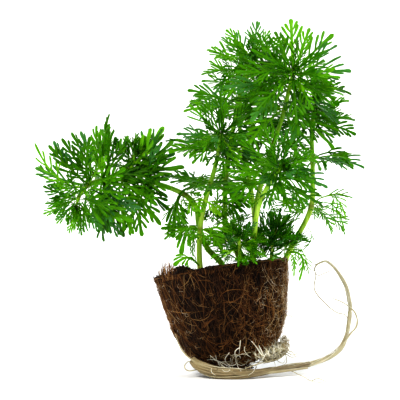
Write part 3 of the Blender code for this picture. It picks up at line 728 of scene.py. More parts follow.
SIDE_HAIRS = [[(16.9, -4, 21.6), (19.3, -3, 22.7), (21.1, -3, 22.5), (22.6, -3, 20.5), (23.1, -3, 16.2)],
              [(17.6, -4, 18.9), (20, -3, 17.5), (20.5, -3, 15.4)],
              [(16.5, -6.5, 9.2), (18.2, -6, 10.1), (19.7, -7, 9), (21.6, -8, 8.1), (23.6, -8, 8.8)],
              [(17.5, -6.6, 8.4), (19.5, -7.2, 8.2), (21.2, -8, 7.3), (23.2, -8.6, 7.6)],
              [(3.8, -15.4, 3.8), (9.5, -13.4, 5.6), (13.3, -11.4, 6.2), (17.1, -10.4, 7.4), (18.8, -8, 8.9)],
              [(15.4, -9, 6.6), (16.8, -9.6, 5.5), (18.2, -9, 5.2), (19, -8.6, 6.8)],
              [(18.9, -8, 8.7), (19.4, -8.4, 6.6), (19.1, -8.4, 4.9), (17.8, -8.6, 4.3)],
              [(13.6, -8, 7.3), (14.8, -8.4, 5.4), (15.2, -8.4, 3.6)],
              [(17.2, -6.4, 10.4), (18.6, -6.6, 11.6), (19.8, -7.2, 10.6), (20.8, -7.6, 9.2),
               (22.4, -8, 9.6)],
              [(18, -6.6, 7.6), (19.6, -7, 9.4), (21.4, -7.6, 9.3), (22.8, -8, 7.4)],
              [(17.8, -5.6, 13.6), (19.2, -5.6, 15.2), (19.9, -5.6, 17.2)],
              [(17.4, -5.6, 12.8), (19.6, -5.8, 13.2), (20.4, -6, 12.2)]]
SIDE_HAIR_SIZES = [0.3, 0.28, 0.46, 0.36, 0.5, 0.26, 0.3, 0.24, 0.34, 0.3, 0.26, 0.26]
SMALL_ARCS = 40
BRISTLE_ROOTS = 48
BRISTLE_FOOT_LINE = (9.5, 7.8, 0.4)
LOOSE_POINTS = 16

backing = []
for name in ("coir_plug", "root_mat", "root_bundle", "root_fringe"):
    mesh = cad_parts[name].data
    backing.append(BVHTree.FromPolygons([vertex.co / MM for vertex in mesh.vertices],
                                        [list(face.vertices) for face in mesh.polygons]))


def laid_on_front(points, lift):
    """Places at the given X and Z, on the front of what stands behind them."""
    places = []
    for x, z in points:
        hits = [tree.ray_cast(Vector((x, -100.0, z)), Vector((0.0, 1.0, 0.0)))[0] for tree in backing]
        nearest = min((hit.y for hit in hits if hit), default=-16.0)
        places.append((x, nearest - lift, z))
    return places


lines = np.array([smooth_line(laid_on_front(line, 0.75), LOOSE_POINTS) for line in FRONT_FIBRES])
radii = tapered(random.uniform(0.22, 0.32, len(FRONT_FIBRES)), LOOSE_POINTS)
front_fibres = strand_mesh("front_fibres", lines, radii, np.array(FRONT_FIBRE_SHADES), 5)
put_in_place(front_fibres, "coir_front_fibres", coir, "coir", "coir_plug")

arcs = list(FRONT_ARCS)
for _ in range(SMALL_ARCS):
    middle = np.array((random.uniform(-9.0, 9.5), random.uniform(3.5, 9.0)))
    turns = random.uniform(0.0, 2 * math.pi) + np.linspace(0.0, random.uniform(1.2, 3.2), 5)
    arcs.append(middle + random.uniform(0.7, 2.6) * np.stack([np.cos(turns), np.sin(turns) * 0.8], axis=-1))
arc_lines = np.array([smooth_line(laid_on_front(line, 1.1), LOOSE_POINTS) for line in arcs])
hair_lines = np.array([smooth_line(line, LOOSE_POINTS) for line in SIDE_HAIRS])
foot_x, foot_z, foot_slope = BRISTLE_FOOT_LINE
bristle_x = random.uniform(7.5, 18.0, BRISTLE_ROOTS)
bristle_z = foot_z + (bristle_x - foot_x) * foot_slope + random.uniform(-0.8, 0.8, BRISTLE_ROOTS)
bristle_length = random.uniform(1.2, 3.8, BRISTLE_ROOTS)
bristle_slant = random.normal(-0.35, 0.7, BRISTLE_ROOTS)
short_roots = []
for x, z, length, slant in zip(bristle_x, bristle_z, bristle_length, bristle_slant):
    root_points = [(x, z), (x + slant * length * 0.4, z + length * 0.5), (x + slant * length, z + length)]
    short_roots.append(smooth_line(laid_on_front(root_points, 0.9), LOOSE_POINTS))
lines = np.concatenate([arc_lines, hair_lines, np.array(short_roots)])
thickness = [FRONT_ARC_SIZES, random.uniform(0.18, 0.34, SMALL_ARCS), SIDE_HAIR_SIZES,
             random.uniform(0.13, 0.25, BRISTLE_ROOTS)]
shades = [random.uniform(0.95, 1.1, len(FRONT_ARCS)), random.uniform(0.5, 1.0, SMALL_ARCS),
          random.uniform(0.65, 0.85, len(SIDE_HAIRS)), random.uniform(0.7, 1.0, BRISTLE_ROOTS)]
loose = strand_mesh("loose_roots", lines, tapered(np.concatenate(thickness), LOOSE_POINTS, 0.8, 0.4),
                    np.concatenate(shades), 5)
put_in_place(loose, "loose_roots", root, "root", "root_fringe")

# The stems: ten juicy shoots of light green, rooted in the plug, a little thicker and browner at each joint
# where a whorl of leaves grows. The side shoot grows on the left branch. Below the crown all stems but the
# left branch and the side shoot are painted paler, a painted light that lifts the shade the leaves cast on
# them.
STEM_ROUTES = {
    "right_front": [(6.4, -3, 43), (7.4, -3, 57.8), (8.3, -3, 66.5), (12.5, -5, 81.8), (17.4, -9, 97.2),
                    (19.7, -15, 107), (21.2, -22, 113.8), (21.6, -28, 116.4)],
    "middle_front": [(6.6, -14, 43), (7.1, -17, 53.9), (8.3, -20, 64), (12, -25, 73),
                     (15.8, -32, 79), (17.4, -38, 80.9)],
    "left_front": [(-13.3, -13, 42), (-13.3, -13, 56), (-11, -13, 67.8), (-8.3, -13, 76.9),
                   (-6.1, -15, 86.1), (-5.3, -19, 90.9), (-4.9, -25, 93.4)],
    "left_branch": [(-4.9, -4, 42), (-10.6, -6, 48.5), (-13.6, -7, 56.1), (-14.8, -7.5, 64),
                    (-18.8, -9, 68.6), (-26.9, -10, 72.2), (-34.1, -12, 73.8), (-47, -14, 74.7),
                    (-54.2, -18, 73.4), (-58, -24, 69.5), (-59.1, -31, 65.3)],
    "top": [(1.9, 4, 42), (0, 4, 48), (-3.4, 4, 53.5), (-3.8, 5, 64.2), (-3.4, 6, 75.5), (-0.8, 6, 92.6),
            (3.4, 4, 109.8), (6.1, -2, 118.6), (6.8, -10, 121.8)],
    "right_tall": [(18.9, 2, 43), (22, 2, 49.5), (26.9, 3, 58.2), (29.2, 4, 64.6), (29.6, 5, 72.5),
                   (29.4, 6, 84.2), (29.2, 6, 92), (29.8, 3, 99.5), (30.6, -4, 104)],
    "side_shoot": [(-38.6, -10.6, 76.4), (-39, -10.8, 79.4), (-38.6, -12, 82.6), (-36.6, -14.5, 85.4)],
    "back": [(6.9, 10, 43), (7.6, 14, 58), (5, 18, 76.8), (1.6, 20, 95.7), (1.9, 18, 107.1), (3, 12, 113.9)],
    "low_middle": [(1.5, -17, 43), (1.5, -18, 49.1), (1.1, -22, 54.4)],
    "low_right": [(13.3, -7, 43), (14, -8, 49.8), (15.4, -8, 57)],
}
STEM_RADII = (1.12, 0.72)
THIN_STEM_RADII = (0.8, 0.55)
THIN_STEMS = ("side_shoot", "low_middle", "low_right")
# These stems get no painted light below the crown.
STEMS_WITHOUT_PAINTED_LIGHT = ("left_branch", "side_shoot")
# Painted light: stems are painted fully paler below the first height, fading out by the second.
PAINTED_LIGHT_HEIGHTS = (62.0, 76.0)
STEM_FOOT_HEIGHT = 35.0
STEM_FOOT_SHARE = 0.82
JOINT_SWELLING = 0.16
JOINT_LENGTH = 1.1
JOINT_REACH = 2.4
STEM_WAVES = 0.03
STEM_POINTS = 90
STEM_SIDES = 14
STEM_TIP = ((0.0, 0.93, 1.0), (1.0, 1.0, 0.35))
JOINT_BROWN = (0.8, 0.15)
BRANCH_JOINT_BROWN = (0.9, 0.6)
STALK_COLOURS = [(0.3, (0.16, 0.37, 0.008)), (0.55, (0.25, 0.50, 0.02)), (0.75, (0.38, 0.62, 0.06))]
# Painted light: how much the painted paleness brightens each colour of the lower stems.
PAINTED_LIGHT_FACTORS = (1.7, 1.3, 3.0)
JOINT_COLOUR = (0.13, 0.085, 0.02)

stalk, shader, nodes, links = new_finish("stalk", 0.38)
streaks = fine_noise(nodes, links, 700.0, 3.0, (1.0, 1.0, 0.12))
greens = colour_ramp(nodes, links, streaks, STALK_COLOURS)
# Painted light: the colour is brightened where a stem holds the 'pale' values, below the crown.
lit_greens = mixed_colours(nodes, links, attribute(nodes, "pale"), greens, PAINTED_LIGHT_FACTORS, "MULTIPLY")
browned = mixed_colours(nodes, links, attribute(nodes, "joint"), lit_greens, JOINT_COLOUR)
links.new(browned, shader.inputs["Base Color"])
bumps(nodes, links, shader, streaks, 0.06, 0.4)
shader.inputs["Specular IOR Level"].default_value = 0.3
let_light_in(shader, 0.35, (0.5, 1.0, 0.15), 1.2)


def shoot_and_number(whorl):
    """The shoot that a whorl of leaves is on and its number from the tip, as its name gives them."""
    shoot, number = whorl.removeprefix("leaves_").rsplit("_", 1)
    return shoot, int(number)


def node_points(name):
    """The places of a CAD node's corners, in millimetres, each of them once, and its triangles."""
    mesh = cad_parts[name].data
    corners = np.array([vertex.co for vertex in mesh.vertices]) / MM
    places, numbers = np.unique(corners.round(3), axis=0, return_inverse=True)
    triangles = np.array([list(face.vertices) for face in mesh.polygons])
    return places, numbers.reshape(-1)[triangles]


whorl_names = sorted(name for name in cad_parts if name.startswith("leaves_"))
whorl_points = {name: node_points(name) for name in whorl_names}
stem_lines = {}
for name, points in STEM_ROUTES.items():
    if name != "side_shoot":
        foot_x, foot_y = points[0][0] * STEM_FOOT_SHARE, points[0][1] * STEM_FOOT_SHARE
        points = [(foot_x, foot_y, STEM_FOOT_HEIGHT), *points]
    line = smooth_line(points, STEM_POINTS)
    stem_lines[name] = line
    near = np.zeros(STEM_POINTS)
    for whorl in whorl_names:
        if shoot_and_number(whorl)[0] == name:
            places = whorl_points[whorl][0]
            away = np.linalg.norm(places[:, None] - line, axis=2)
            collar = places[away.min(axis=1) < JOINT_REACH].mean(axis=0)
            near = np.maximum(near, np.exp(-(np.linalg.norm(line - collar, axis=1) / JOINT_LENGTH) ** 2))
    radii = np.linspace(*(THIN_STEM_RADII if name in THIN_STEMS else STEM_RADII), STEM_POINTS)
    radii = radii * (1 + JOINT_SWELLING * near) * (1 + STEM_WAVES * np.sin(np.linspace(0, 17, STEM_POINTS)))
    radii = radii * np.interp(np.linspace(0.0, 1.0, STEM_POINTS), *STEM_TIP)
    stem = strand_mesh("stem", line[None], radii[None], np.array([0.5]), STEM_SIDES)
    browning = BRANCH_JOINT_BROWN if name == "left_branch" else JOINT_BROWN
    give_values(stem, "joint", np.repeat(near * np.linspace(*browning, STEM_POINTS), STEM_SIDES))
    # Painted light: the 'pale' values mark where a stem is painted paler, fading out below the crown.
    painted_lightness = np.interp(line[:, 2], PAINTED_LIGHT_HEIGHTS, (0.0, 0.0) if name in STEMS_WITHOUT_PAINTED_LIGHT else (1.0, 0.0))
    give_values(stem, "pale", np.repeat(painted_lightness, STEM_SIDES))
    put_in_place(stem, "stalk_" + name, stalk, "stalk", "stem_" + name)

# The leaves: each is a thin blade cut into long narrow lobes, which leave both sides of its midrib in turn
# and point nearly the same way as it does. A few are shaped here, and all others are bent copies of them.
LeafKind = namedtuple("LeafKind", "pairs first last reach slant width rib tip_width forked")
LEAF_KINDS = {
    "broad_1": LeafKind(3, 0.30, 0.79, (0.42, 0.21), (46, 34), 0.056, 0.050, 0.084, (0,)),
    "broad_2": LeafKind(3, 0.36, 0.80, (0.37, 0.20), (44, 34), 0.058, 0.053, 0.086, ()),
    "broad_3": LeafKind(4, 0.28, 0.82, (0.34, 0.16), (50, 36), 0.050, 0.048, 0.074, ()),
    "fern_1": LeafKind(5, 0.20, 0.85, (0.28, 0.15), (48, 34), 0.046, 0.044, 0.066, (0,)),
    "fern_2": LeafKind(4, 0.24, 0.83, (0.32, 0.17), (45, 33), 0.050, 0.046, 0.070, ()),
    "long": LeafKind(2, 0.30, 0.68, (0.48, 0.27), (39, 30), 0.052, 0.050, 0.084, (1,)),
    "slim_1": LeafKind(2, 0.40, 0.74, (0.40, 0.23), (38, 29), 0.056, 0.047, 0.078, (0,)),
    "slim_2": LeafKind(3, 0.32, 0.79, (0.37, 0.18), (42, 30), 0.049, 0.043, 0.068, ()),
    "short_1": LeafKind(4, 0.22, 0.84, (0.17, 0.12), (42, 34), 0.046, 0.052, 0.064, ()),
    "fine_1": LeafKind(4, 0.30, 0.84, (0.34, 0.13), (54, 36), 0.030, 0.026, 0.038, (0, 1, 3)),
    "fine_2": LeafKind(3, 0.40, 0.80, (0.36, 0.16), (46, 32), 0.036, 0.029, 0.044, (0, 2)),
    "thread_1": LeafKind(4, 0.34, 0.86, (0.28, 0.12), (58, 42), 0.024, 0.020, 0.030, (0, 3)),
    "thread_2": LeafKind(3, 0.42, 0.84, (0.26, 0.14), (50, 36), 0.029, 0.023, 0.036, (1,)),
    "young_1": LeafKind(3, 0.30, 0.82, (0.34, 0.18), (38, 26), 0.068, 0.058, 0.084, ()),
    "young_2": LeafKind(2, 0.40, 0.78, (0.36, 0.22), (34, 24), 0.076, 0.062, 0.092, ()),
    "bud_1": LeafKind(2, 0.30, 0.72, (0.40, 0.30), (38, 26), 0.120, 0.100, 0.140, ()),
}
LOBE_SPAN = 0.026
PAIR_ROWS = 5
LOBE_BEND = 20.0
LOBE_ROWS = ((0.28, 0.72), (0.72, 1.0), (0.93, 0.76), (1.0, 0.26))
FORKED_LOBE_ROWS = ((0.22, 0.66), (0.4, 0.8), (0.48, 0.86), (0.56, 0.9), (0.82, 1.0), (0.95, 0.72),
                    (1.0, 0.26))
TIP_ROWS = ((0.84, 0.74), (0.9, 0.94), (0.95, 1.0), (0.98, 0.76), (1.0, 0.3))
LEAF_THICKNESS = 0.013
LEAF_GROOVE = 0.010
LEAF_COLOURS = [(0.08, (0.003, 0.026, 0.0)), (0.3, (0.012, 0.080, 0.0)), (0.5, (0.040, 0.170, 0.001)),
                (0.7, (0.090, 0.29, 0.003)), (0.86, (0.18, 0.43, 0.01)), (1.0, (0.34, 0.58, 0.05))]
RIB_COLOUR = (0.16, 0.38, 0.004)
# Painted sheen: a bluish green that some leaves are mixed towards, in place of the lamps' highlights on them.
PAINTED_SHEEN_COLOUR = (0.055, 0.175, 0.055)
random = np.random.default_rng(23)


def heading_way(heading):
    """The direction of a heading, in degrees from the leaf's own length, to the right."""
    return Vector((math.sin(math.radians(heading)), math.cos(math.radians(heading)), 0.0))


def pull_out(leaf, rows):
    """Extrude the two selected edges through rows of a middle, a heading and a width. Returns the corners."""
    made = []
    for middle, heading, width in rows:
        bpy.ops.mesh.extrude_edges_move()
        shape = bmesh.from_edit_mesh(leaf.data)
        across = heading_way(heading + 90)
        corners = sorted((vertex for vertex in shape.verts if vertex.select),
                         key=lambda vertex: vertex.co.dot(across))
        for vertex, share in zip(corners, (-0.5, 0.0, 0.5)):
            vertex.co = middle + across * share * width
        bmesh.update_edit_mesh(leaf.data)
        made.append([vertex.co.copy() for vertex in corners])
    return made


def select_edges_along(leaf, places):
    """Select only the edges that join these places of a leaf."""
    bpy.ops.mesh.select_all(action="DESELECT")
    shape = bmesh.from_edit_mesh(leaf.data)
    for edge in shape.edges:
        if all(min((vertex.co - place).length for place in places) < 1e-5 for vertex in edge.verts):
            edge.select_set(True)
    bmesh.update_edit_mesh(leaf.data)


def grow_lobe(leaf, edge_places, side, slant, reach, width, lift, forked):
    """Grow a lobe out of three places on the leaf's edge. It turns towards the tip, and may fork once."""
    select_edges_along(leaf, edge_places)
    middle = edge_places[1].copy()
    rows = []
    before = 0.0
    for share, row_width in FORKED_LOBE_ROWS if forked else LOBE_ROWS:
        heading = side * (slant - LOBE_BEND * share)
        middle = middle + (heading_way(heading) + Vector((0.0, 0.0, lift))) * reach * (share - before)
        rows.append((middle, heading, width * row_width))
        before = share
    corners = pull_out(leaf, rows)
    if forked:
        outer = 2 if side > 0 else 0
        fork = [corners[row][outer] for row in (1, 2, 3)]
        grow_lobe(leaf, fork, side, slant + 22, reach * 0.45, width * 0.85, lift, False)


def lobed_leaf(kind):
    """One flat leaf of unit length along Y, sharp at its edges and grooved along its upper side."""
    bpy.ops.object.select_all(action="DESELECT")
    bpy.ops.mesh.primitive_grid_add(x_subdivisions=2, y_subdivisions=1, size=1.0)
    leaf = bpy.context.object
    bpy.ops.object.mode_set(mode="EDIT")
    bpy.ops.mesh.select_mode(type="EDGE")
    bpy.ops.transform.resize(value=(kind.rib * 0.9, kind.first / 2, 1.0))
    bpy.ops.transform.translate(value=(0.0, kind.first / 4, 0.0))
    select_edges_along(leaf, [Vector((x * kind.rib * 0.45, kind.first / 2, 0.0)) for x in (-1, 0, 1)])
    starts = np.linspace(kind.first, kind.last, kind.pairs + 1)[:-1]
    rows = [(start + LOBE_SPAN * part, kind.rib * (0.85 + 0.35 * start))
            for start in starts for part in range(PAIR_ROWS)]
    rows += [(place, kind.tip_width * share) for place, share in TIP_ROWS]
    corners = pull_out(leaf, [(Vector((0.0, place, 0.0)), 0.0, width) for place, width in rows])
    for lobe in range(2 * kind.pairs):
        side = -1 if lobe % 2 == 0 else 1
        along = lobe / (2 * kind.pairs - 1)
        first_row = lobe // 2 * PAIR_ROWS + lobe % 2 * 2
        edge = [row[0 if side < 0 else 2] for row in corners[first_row:first_row + 3]]
        grow_lobe(leaf, edge, side, np.interp(along, (0, 1), kind.slant) + random.uniform(-5, 5),
                  np.interp(along, (0, 1), kind.reach) * random.uniform(0.84, 1.1),
                  kind.width * random.uniform(0.86, 1.14), random.uniform(-0.2, 0.4), lobe in kind.forked)
    shape = bmesh.from_edit_mesh(leaf.data)
    rib = shape.verts.layers.float.new("rib")
    for vertex in shape.verts:
        vertex[rib] = 0.0 if vertex.is_boundary else 1.0
        vertex.co.z += LEAF_GROOVE if vertex.is_boundary else 0.0
    bpy.ops.mesh.select_all(action="SELECT")
    bpy.ops.mesh.normals_make_consistent(inside=False)
    shape = bmesh.from_edit_mesh(leaf.data)
    if sum(face.normal.z for face in shape.faces) < 0:
        bpy.ops.mesh.flip_normals()
    bpy.ops.mesh.duplicate()
    bpy.ops.mesh.flip_normals()
    shape = bmesh.from_edit_mesh(leaf.data)
    rib = shape.verts.layers.float["rib"]
    for vertex in shape.verts:
        if vertex.select and vertex[rib] > 0.5:
            vertex.co.z -= LEAF_THICKNESS
    bpy.ops.mesh.select_all(action="SELECT")
    bpy.ops.mesh.remove_doubles(threshold=1e-5)
    bpy.ops.object.mode_set(mode="OBJECT")
    points = np.array([vertex.co for vertex in leaf.data.vertices])
    ribs = np.array([item.value for item in leaf.data.attributes["rib"].data])
    faces = [list(face.vertices) for face in leaf.data.polygons]
    bpy.data.objects.remove(leaf)
    return points, ribs, faces


leaf_shapes = {name: lobed_leaf(kind) for name, kind in LEAF_KINDS.items()}

leaf_finish, shader, nodes, links = new_finish("leaf", 0.42)
patches = fine_noise(nodes, links, 300.0, 4.0)
brightness = worked_out(nodes, links, "MULTIPLY_ADD", patches, 0.4, attribute(nodes, "tint"))
greens = colour_ramp(nodes, links, brightness, LEAF_COLOURS)
rib_share = worked_out(nodes, links, "MULTIPLY", attribute(nodes, "rib"), 0.3)
veined = mixed_colours(nodes, links, rib_share, greens, RIB_COLOUR)
# Painted sheen: some leaves' colour is mixed towards a bluish green that stands in for highlights.
sheened = mixed_colours(nodes, links, attribute(nodes, "bloom"), veined, PAINTED_SHEEN_COLOUR)
links.new(sheened, shader.inputs["Base Color"])
bumps(nodes, links, shader, fine_noise(nodes, links, 2600.0, 2.0), 0.1, 0.4)
shader.inputs["Specular IOR Level"].default_value = 0.1
let_light_in(shader, 0.3, (0.35, 1.0, 0.06), 0.6)

LeafPlace = namedtuple("LeafPlace", "start bend end")
# The last column is the chance that a leaf of the style gets a painted sheen.
LeafStyle = namedtuple("LeafStyle", "kinds fold curl tint bloom")
LEAF_STYLES = {
    "bud": LeafStyle(("bud_1",), 0.5, -0.05, -0.16, 0.0),
    "young": LeafStyle(("young_1", "slim_2", "young_2"), 0.4, 0.0, 0.08, 0.1),
    "head": LeafStyle(("broad_1", "broad_2", "broad_3", "long", "slim_1"), 0.2, 0.03, 0.26, 0.25),
    "dark": LeafStyle(("fern_1", "fern_2", "broad_3"), 0.25, 0.02, 0.13, 0.15),
    "branch": LeafStyle(("fern_1", "fern_2", "broad_1"), 0.2, 0.03, 0.25, 0.2),
    "low": LeafStyle(("broad_1", "broad_3", "slim_2"), 0.15, 0.06, 0.34, 0.1),
    "hand": LeafStyle(("hand_1", "hand_2"), 0.2, 0.04, 0.43, 0.05),
    "pale": LeafStyle(("short_1",), 0.15, 0.06, 0.46, 0.5),
    "fine": LeafStyle(("fine_1", "fine_2"), 0.08, 0.08, 0.36, 0.1),
    "thin": LeafStyle(("thread_2",), 0.05, 0.0, 0.40, 0.1),
    "thread": LeafStyle(("thread_1", "thread_2"), 0.05, 0.03, 0.40, 0.0),
    "tuft": LeafStyle(("slim_1", "young_2", "slim_2"), 0.25, 0.03, 0.05, 0.1),
}
LIGHT_WAY = np.array((-0.15, -0.75, 0.65))
LOWEST_WHORLS = {"right_front": 5, "middle_front": 4, "left_front": 5, "left_branch": 6, "top": 5, "back": 5}
WHORL_STYLES = {("right_tall", 5): "fine", ("right_tall", 6): "thread"}
DARK_SHOOTS = ("side_shoot", "low_right")
SHARP_EDGE = math.radians(75)
BUD_LEAVES = 18
BUD_LENGTH = 4.6
BUD_SPREAD = 55.0
BUD_DEPTH = 1.2
STAR_LEAVES = 15
STAR_LENGTH = 12.0
STAR_SPREAD = 92.0
STAR_DEPTH = 6.0
WIDEST_GAP = 1.9
BETWEEN_SHARE = 0.6
BRANCH_BETWEEN_SHARE = 0.5
HANGING_LEAVES = 5
HANGING_SHARE = 0.85
OPEN_GAP_X = (-2.0, 26.0)
OPEN_GAP_Z = (45.0, 65.0)
LEAST_HELD = 0.62
LEAST_LENGTH = 0.85
TIP_CLEARANCE = 2.0
FACING_SPREAD = 0.22
TINT_SPREAD = 0.13
FOOT_TINT = 0.2
RIM_HEIGHT = 42.6
RIM_RISE = 0.2
GOLDEN_TURN = math.pi * (3.0 - math.sqrt(5.0))


def unit(way):
    """The same direction with a length of one."""
    return way / np.linalg.norm(way)


def leaf_length(place):
    """How long the leaf at a place is, over its bend."""
    return np.linalg.norm(place.bend - place.start) + np.linalg.norm(place.end - place.bend)


def resized(place, share):
    """The same place for a leaf, made longer or shorter from its start."""
    return LeafPlace(place.start, *(place.start + (point - place.start) * share for point in place[1:]))


def blades_of(name):
    """The places of a CAD whorl's blades: where each one starts, its shoulders and its tip."""
    places, triangles = whorl_points[name]
    links_of = [set() for _ in places]
    for triangle in triangles:
        for corner in triangle:
            links_of[corner].update(set(triangle) - {corner})
    gaps = np.linalg.norm(places[:, None] - places, axis=2) + np.eye(len(places)) * 99.0
    blades = []
    for tip in np.flatnonzero(gaps.min(axis=1) > TIP_CLEARANCE):
        shoulders = sorted(links_of[tip])
        if len(shoulders) == 4:
            base = sorted(set().union(*(links_of[corner] for corner in shoulders)) - set(shoulders) - {tip})
            blades.append(LeafPlace(places[base].mean(axis=0), places[shoulders].mean(axis=0), places[tip]))
    return blades


def leaves_between(blades, growth, kept):
    """Places for more leaves, each between two neighbours of a whorl and a little higher up the stem."""
    centre = np.mean([blade.start for blade in blades], axis=0)
    side = unit(np.cross(growth, ODD_WAY))
    over = np.cross(growth, side)
    turns = [math.atan2((blade.end - centre) @ over, (blade.end - centre) @ side) for blade in blades]
    order = np.argsort(turns)
    extra = []
    for first, second in zip(order, np.roll(order, -1)):
        if (turns[second] - turns[first]) % (2 * math.pi) < WIDEST_GAP and random.random() < kept:
            rise = growth * random.uniform(-0.1, 0.45)
            points = []
            for one, other in zip(blades[first], blades[second]):
                reach = (np.linalg.norm(one - centre) + np.linalg.norm(other - centre)) / 2
                points.append(centre + unit(unit((one + other) / 2 - centre) + rise) * reach)
            extra.append(resized(LeafPlace(*points), random.uniform(0.72, 0.96)))
    return extra


def shoot_leaves(tip, growth, count, length, spread, depth):
    """Places of the leaves round a shoot's tip, from short upright ones to spread ones further down."""
    side = unit(np.cross(growth, ODD_WAY))
    over = np.cross(growth, side)
    places = []
    for number in range(count):
        share = (number + 0.5) / count
        turn = number * GOLDEN_TURN
        out = math.cos(turn) * side + math.sin(turn) * over
        opening = math.radians(8.0 + spread * share)
        half = length * (0.4 + 0.6 * share) * random.uniform(0.85, 1.15) / 2
        start = tip - growth * (0.3 + depth * share)
        bend = start + (growth * math.cos(opening) + out * math.sin(opening)) * half
        end = bend + (growth * math.cos(opening * 0.6) + out * math.sin(opening * 0.6)) * half
        places.append(LeafPlace(start, bend, end))
    return places


def hanging_leaves(joint, count, length):
    """Places of leaves that grow out level on all sides of a joint and hang at their tips."""
    first = random.uniform(0.0, 2 * math.pi)
    places = []
    for number in range(count):
        turn = first + (number + random.uniform(-0.25, 0.25)) * 2 * math.pi / count
        out = np.array((math.cos(turn), math.sin(turn), 0.0))
        half = length * random.uniform(0.8, 1.05) / 2
        bend = joint + (out + (0.0, 0.0, random.uniform(-0.1, 0.35))) * half
        end = bend + (out * 0.8 - (0.0, 0.0, random.uniform(0.3, 0.8))) * half
        places.append(LeafPlace(joint, bend, end))
    return places


def held_up(place):
    """The same place for a leaf, shortened where its end would hang into the gap under the crown."""
    if is_clear(place):
        return place
    drop = place.start[2] - place.end[2]
    return resized(place, np.clip((place.start[2] - OPEN_GAP_Z[1]) / max(drop, 0.1), LEAST_HELD, 1.0))


def is_clear(place):
    """Whether a leaf stays out of the gap under the crown, where only stems and threads are."""
    x, _, z = place.end
    return not (OPEN_GAP_X[0] < x < OPEN_GAP_X[1] and OPEN_GAP_Z[0] < z < OPEN_GAP_Z[1])


def above_rim(place):
    """The same place for a leaf, raised where it would hang in front of the plug's rim."""
    lowest = [(-np.inf, -np.inf, RIM_HEIGHT + RIM_RISE * point[0]) for point in place]
    return LeafPlace(*np.maximum(place, lowest))


def laid_leaf(points, place, facing, fold, curl, twist):
    """A leaf shape's points, bent to its place with its upper side turned to a direction."""
    control = 2 * place.bend - (place.start + place.end) / 2
    t = points[:, 1:2]
    middle = place.start * (1 - t) ** 2 + control * 2 * t * (1 - t) + place.end * t ** 2
    along = (control - place.start) * (1 - t) + (place.end - control) * t
    along /= np.linalg.norm(along, axis=1, keepdims=True)
    across = np.cross(along, facing)
    across /= np.linalg.norm(across, axis=1, keepdims=True)
    normal = np.cross(across, along)
    turn = twist * (t - 0.3)
    twisted_across = across * np.cos(turn) + normal * np.sin(turn)
    twisted_normal = normal * np.cos(turn) - across * np.sin(turn)
    height = points[:, 2:3] + fold * np.abs(points[:, :1]) - curl * t ** 2
    return middle + (twisted_across * points[:, :1] + twisted_normal * height) * leaf_length(place)


def add_leaf(leaves, place, facing, style_name):
    """Lay one leaf of a style at a place and add its points, rib, tint, painted sheen and faces to a list."""
    style = LEAF_STYLES[style_name]
    points, ribs, faces = leaf_shapes[style.kinds[random.integers(len(style.kinds))]]
    facing = unit(facing) + random.normal(0.0, FACING_SPREAD, 3)
    laid = laid_leaf(points, place, facing, style.fold * random.uniform(0.3, 1.6),
                     style.curl * random.uniform(0.0, 2.0), random.normal(0.0, 0.35))
    tints = style.tint + random.normal(0.0, TINT_SPREAD) + FOOT_TINT * (1 - points[:, 1]) ** 2
    # Painted sheen: some leaves of a style get a share of the bluish highlight colour.
    sheen_amount = random.uniform(0.4, 0.9) if random.random() < style.bloom else 0.0
    sheen_values = np.full(len(points), sheen_amount)
    leaves.append((laid, ribs, tints, sheen_values, faces))


def join_leaves(leaves, name, *nodes):
    """Make one piece of a list of leaves, in place of its CAD nodes."""
    firsts = np.cumsum([0] + [len(leaf[0]) for leaf in leaves])
    faces = [[first + corner for corner in face] for first, leaf in zip(firsts, leaves) for face in leaf[4]]
    piece = new_piece(name, np.concatenate([leaf[0] for leaf in leaves]), faces)
    for column, values_name in enumerate(("rib", "tint", "bloom"), 1):
        give_values(piece, values_name, np.concatenate([leaf[column] for leaf in leaves]))
    piece.data.shade_smooth()
    piece.data.set_sharp_from_angle(angle=SHARP_EDGE)
    put_in_place(piece, name, leaf_finish, "leaf", *nodes)


def whorl_style(shoot, number):
    """The style of the leaves in a shoot's whorl, counted from its tip."""
    if number == 1:
        return "young"
    if shoot in DARK_SHOOTS:
        return "dark"
    if number >= LOWEST_WHORLS.get(shoot, 9):
        return "low"
    return WHORL_STYLES.get((shoot, number), "branch" if shoot == "left_branch" else "head")


for name in whorl_names:
    shoot, number = shoot_and_number(name)
    style = whorl_style(shoot, number)
    blades = blades_of(name)
    line = stem_lines[shoot]
    nearest = np.linalg.norm(line - np.mean([blade.start for blade in blades], axis=0), axis=1).argmin()
    growth = unit(line[min(nearest + 2, len(line) - 1)] - line[max(nearest - 2, 0)])
    longest = max(leaf_length(blade) for blade in blades)
    lengthened = [max(1.0, LEAST_LENGTH * longest / leaf_length(blade)) for blade in blades]
    blades = [resized(blade, share * random.uniform(0.93, 1.03)) for blade, share in zip(blades, lengthened)]
    facing = unit(growth + LIGHT_WAY)
    leaves = []
    extra = []
    if style != "thread":
        kept = BRANCH_BETWEEN_SHARE if shoot == "left_branch" else BETWEEN_SHARE
        extra = leaves_between(blades, growth, kept)
    if style == "head":
        joint = np.mean([blade.start for blade in blades], axis=0)
        extra += hanging_leaves(joint, HANGING_LEAVES, longest * HANGING_SHARE)
    if shoot.startswith("low"):
        blades = [above_rim(blade) for blade in blades]
        extra = [above_rim(place) for place in extra]
    else:
        blades = [held_up(blade) for blade in blades]
        extra = [place for place in extra if is_clear(place)]
    for place in blades + extra:
        add_leaf(leaves, place, facing, style)
    if number == 1:
        # A little off the shoot's own direction, in which its upright leaves would have no side to turn to.
        facing = growth + 0.01
        for place in shoot_leaves(line[-1], growth, STAR_LEAVES, STAR_LENGTH, STAR_SPREAD, STAR_DEPTH):
            add_leaf(leaves, place, facing, "young")
        for place in shoot_leaves(line[-1], growth, BUD_LEAVES, BUD_LENGTH, BUD_SPREAD, BUD_DEPTH):
            add_leaf(leaves, place, facing, "bud")
    join_leaves(leaves, "lobed_" + name, name)

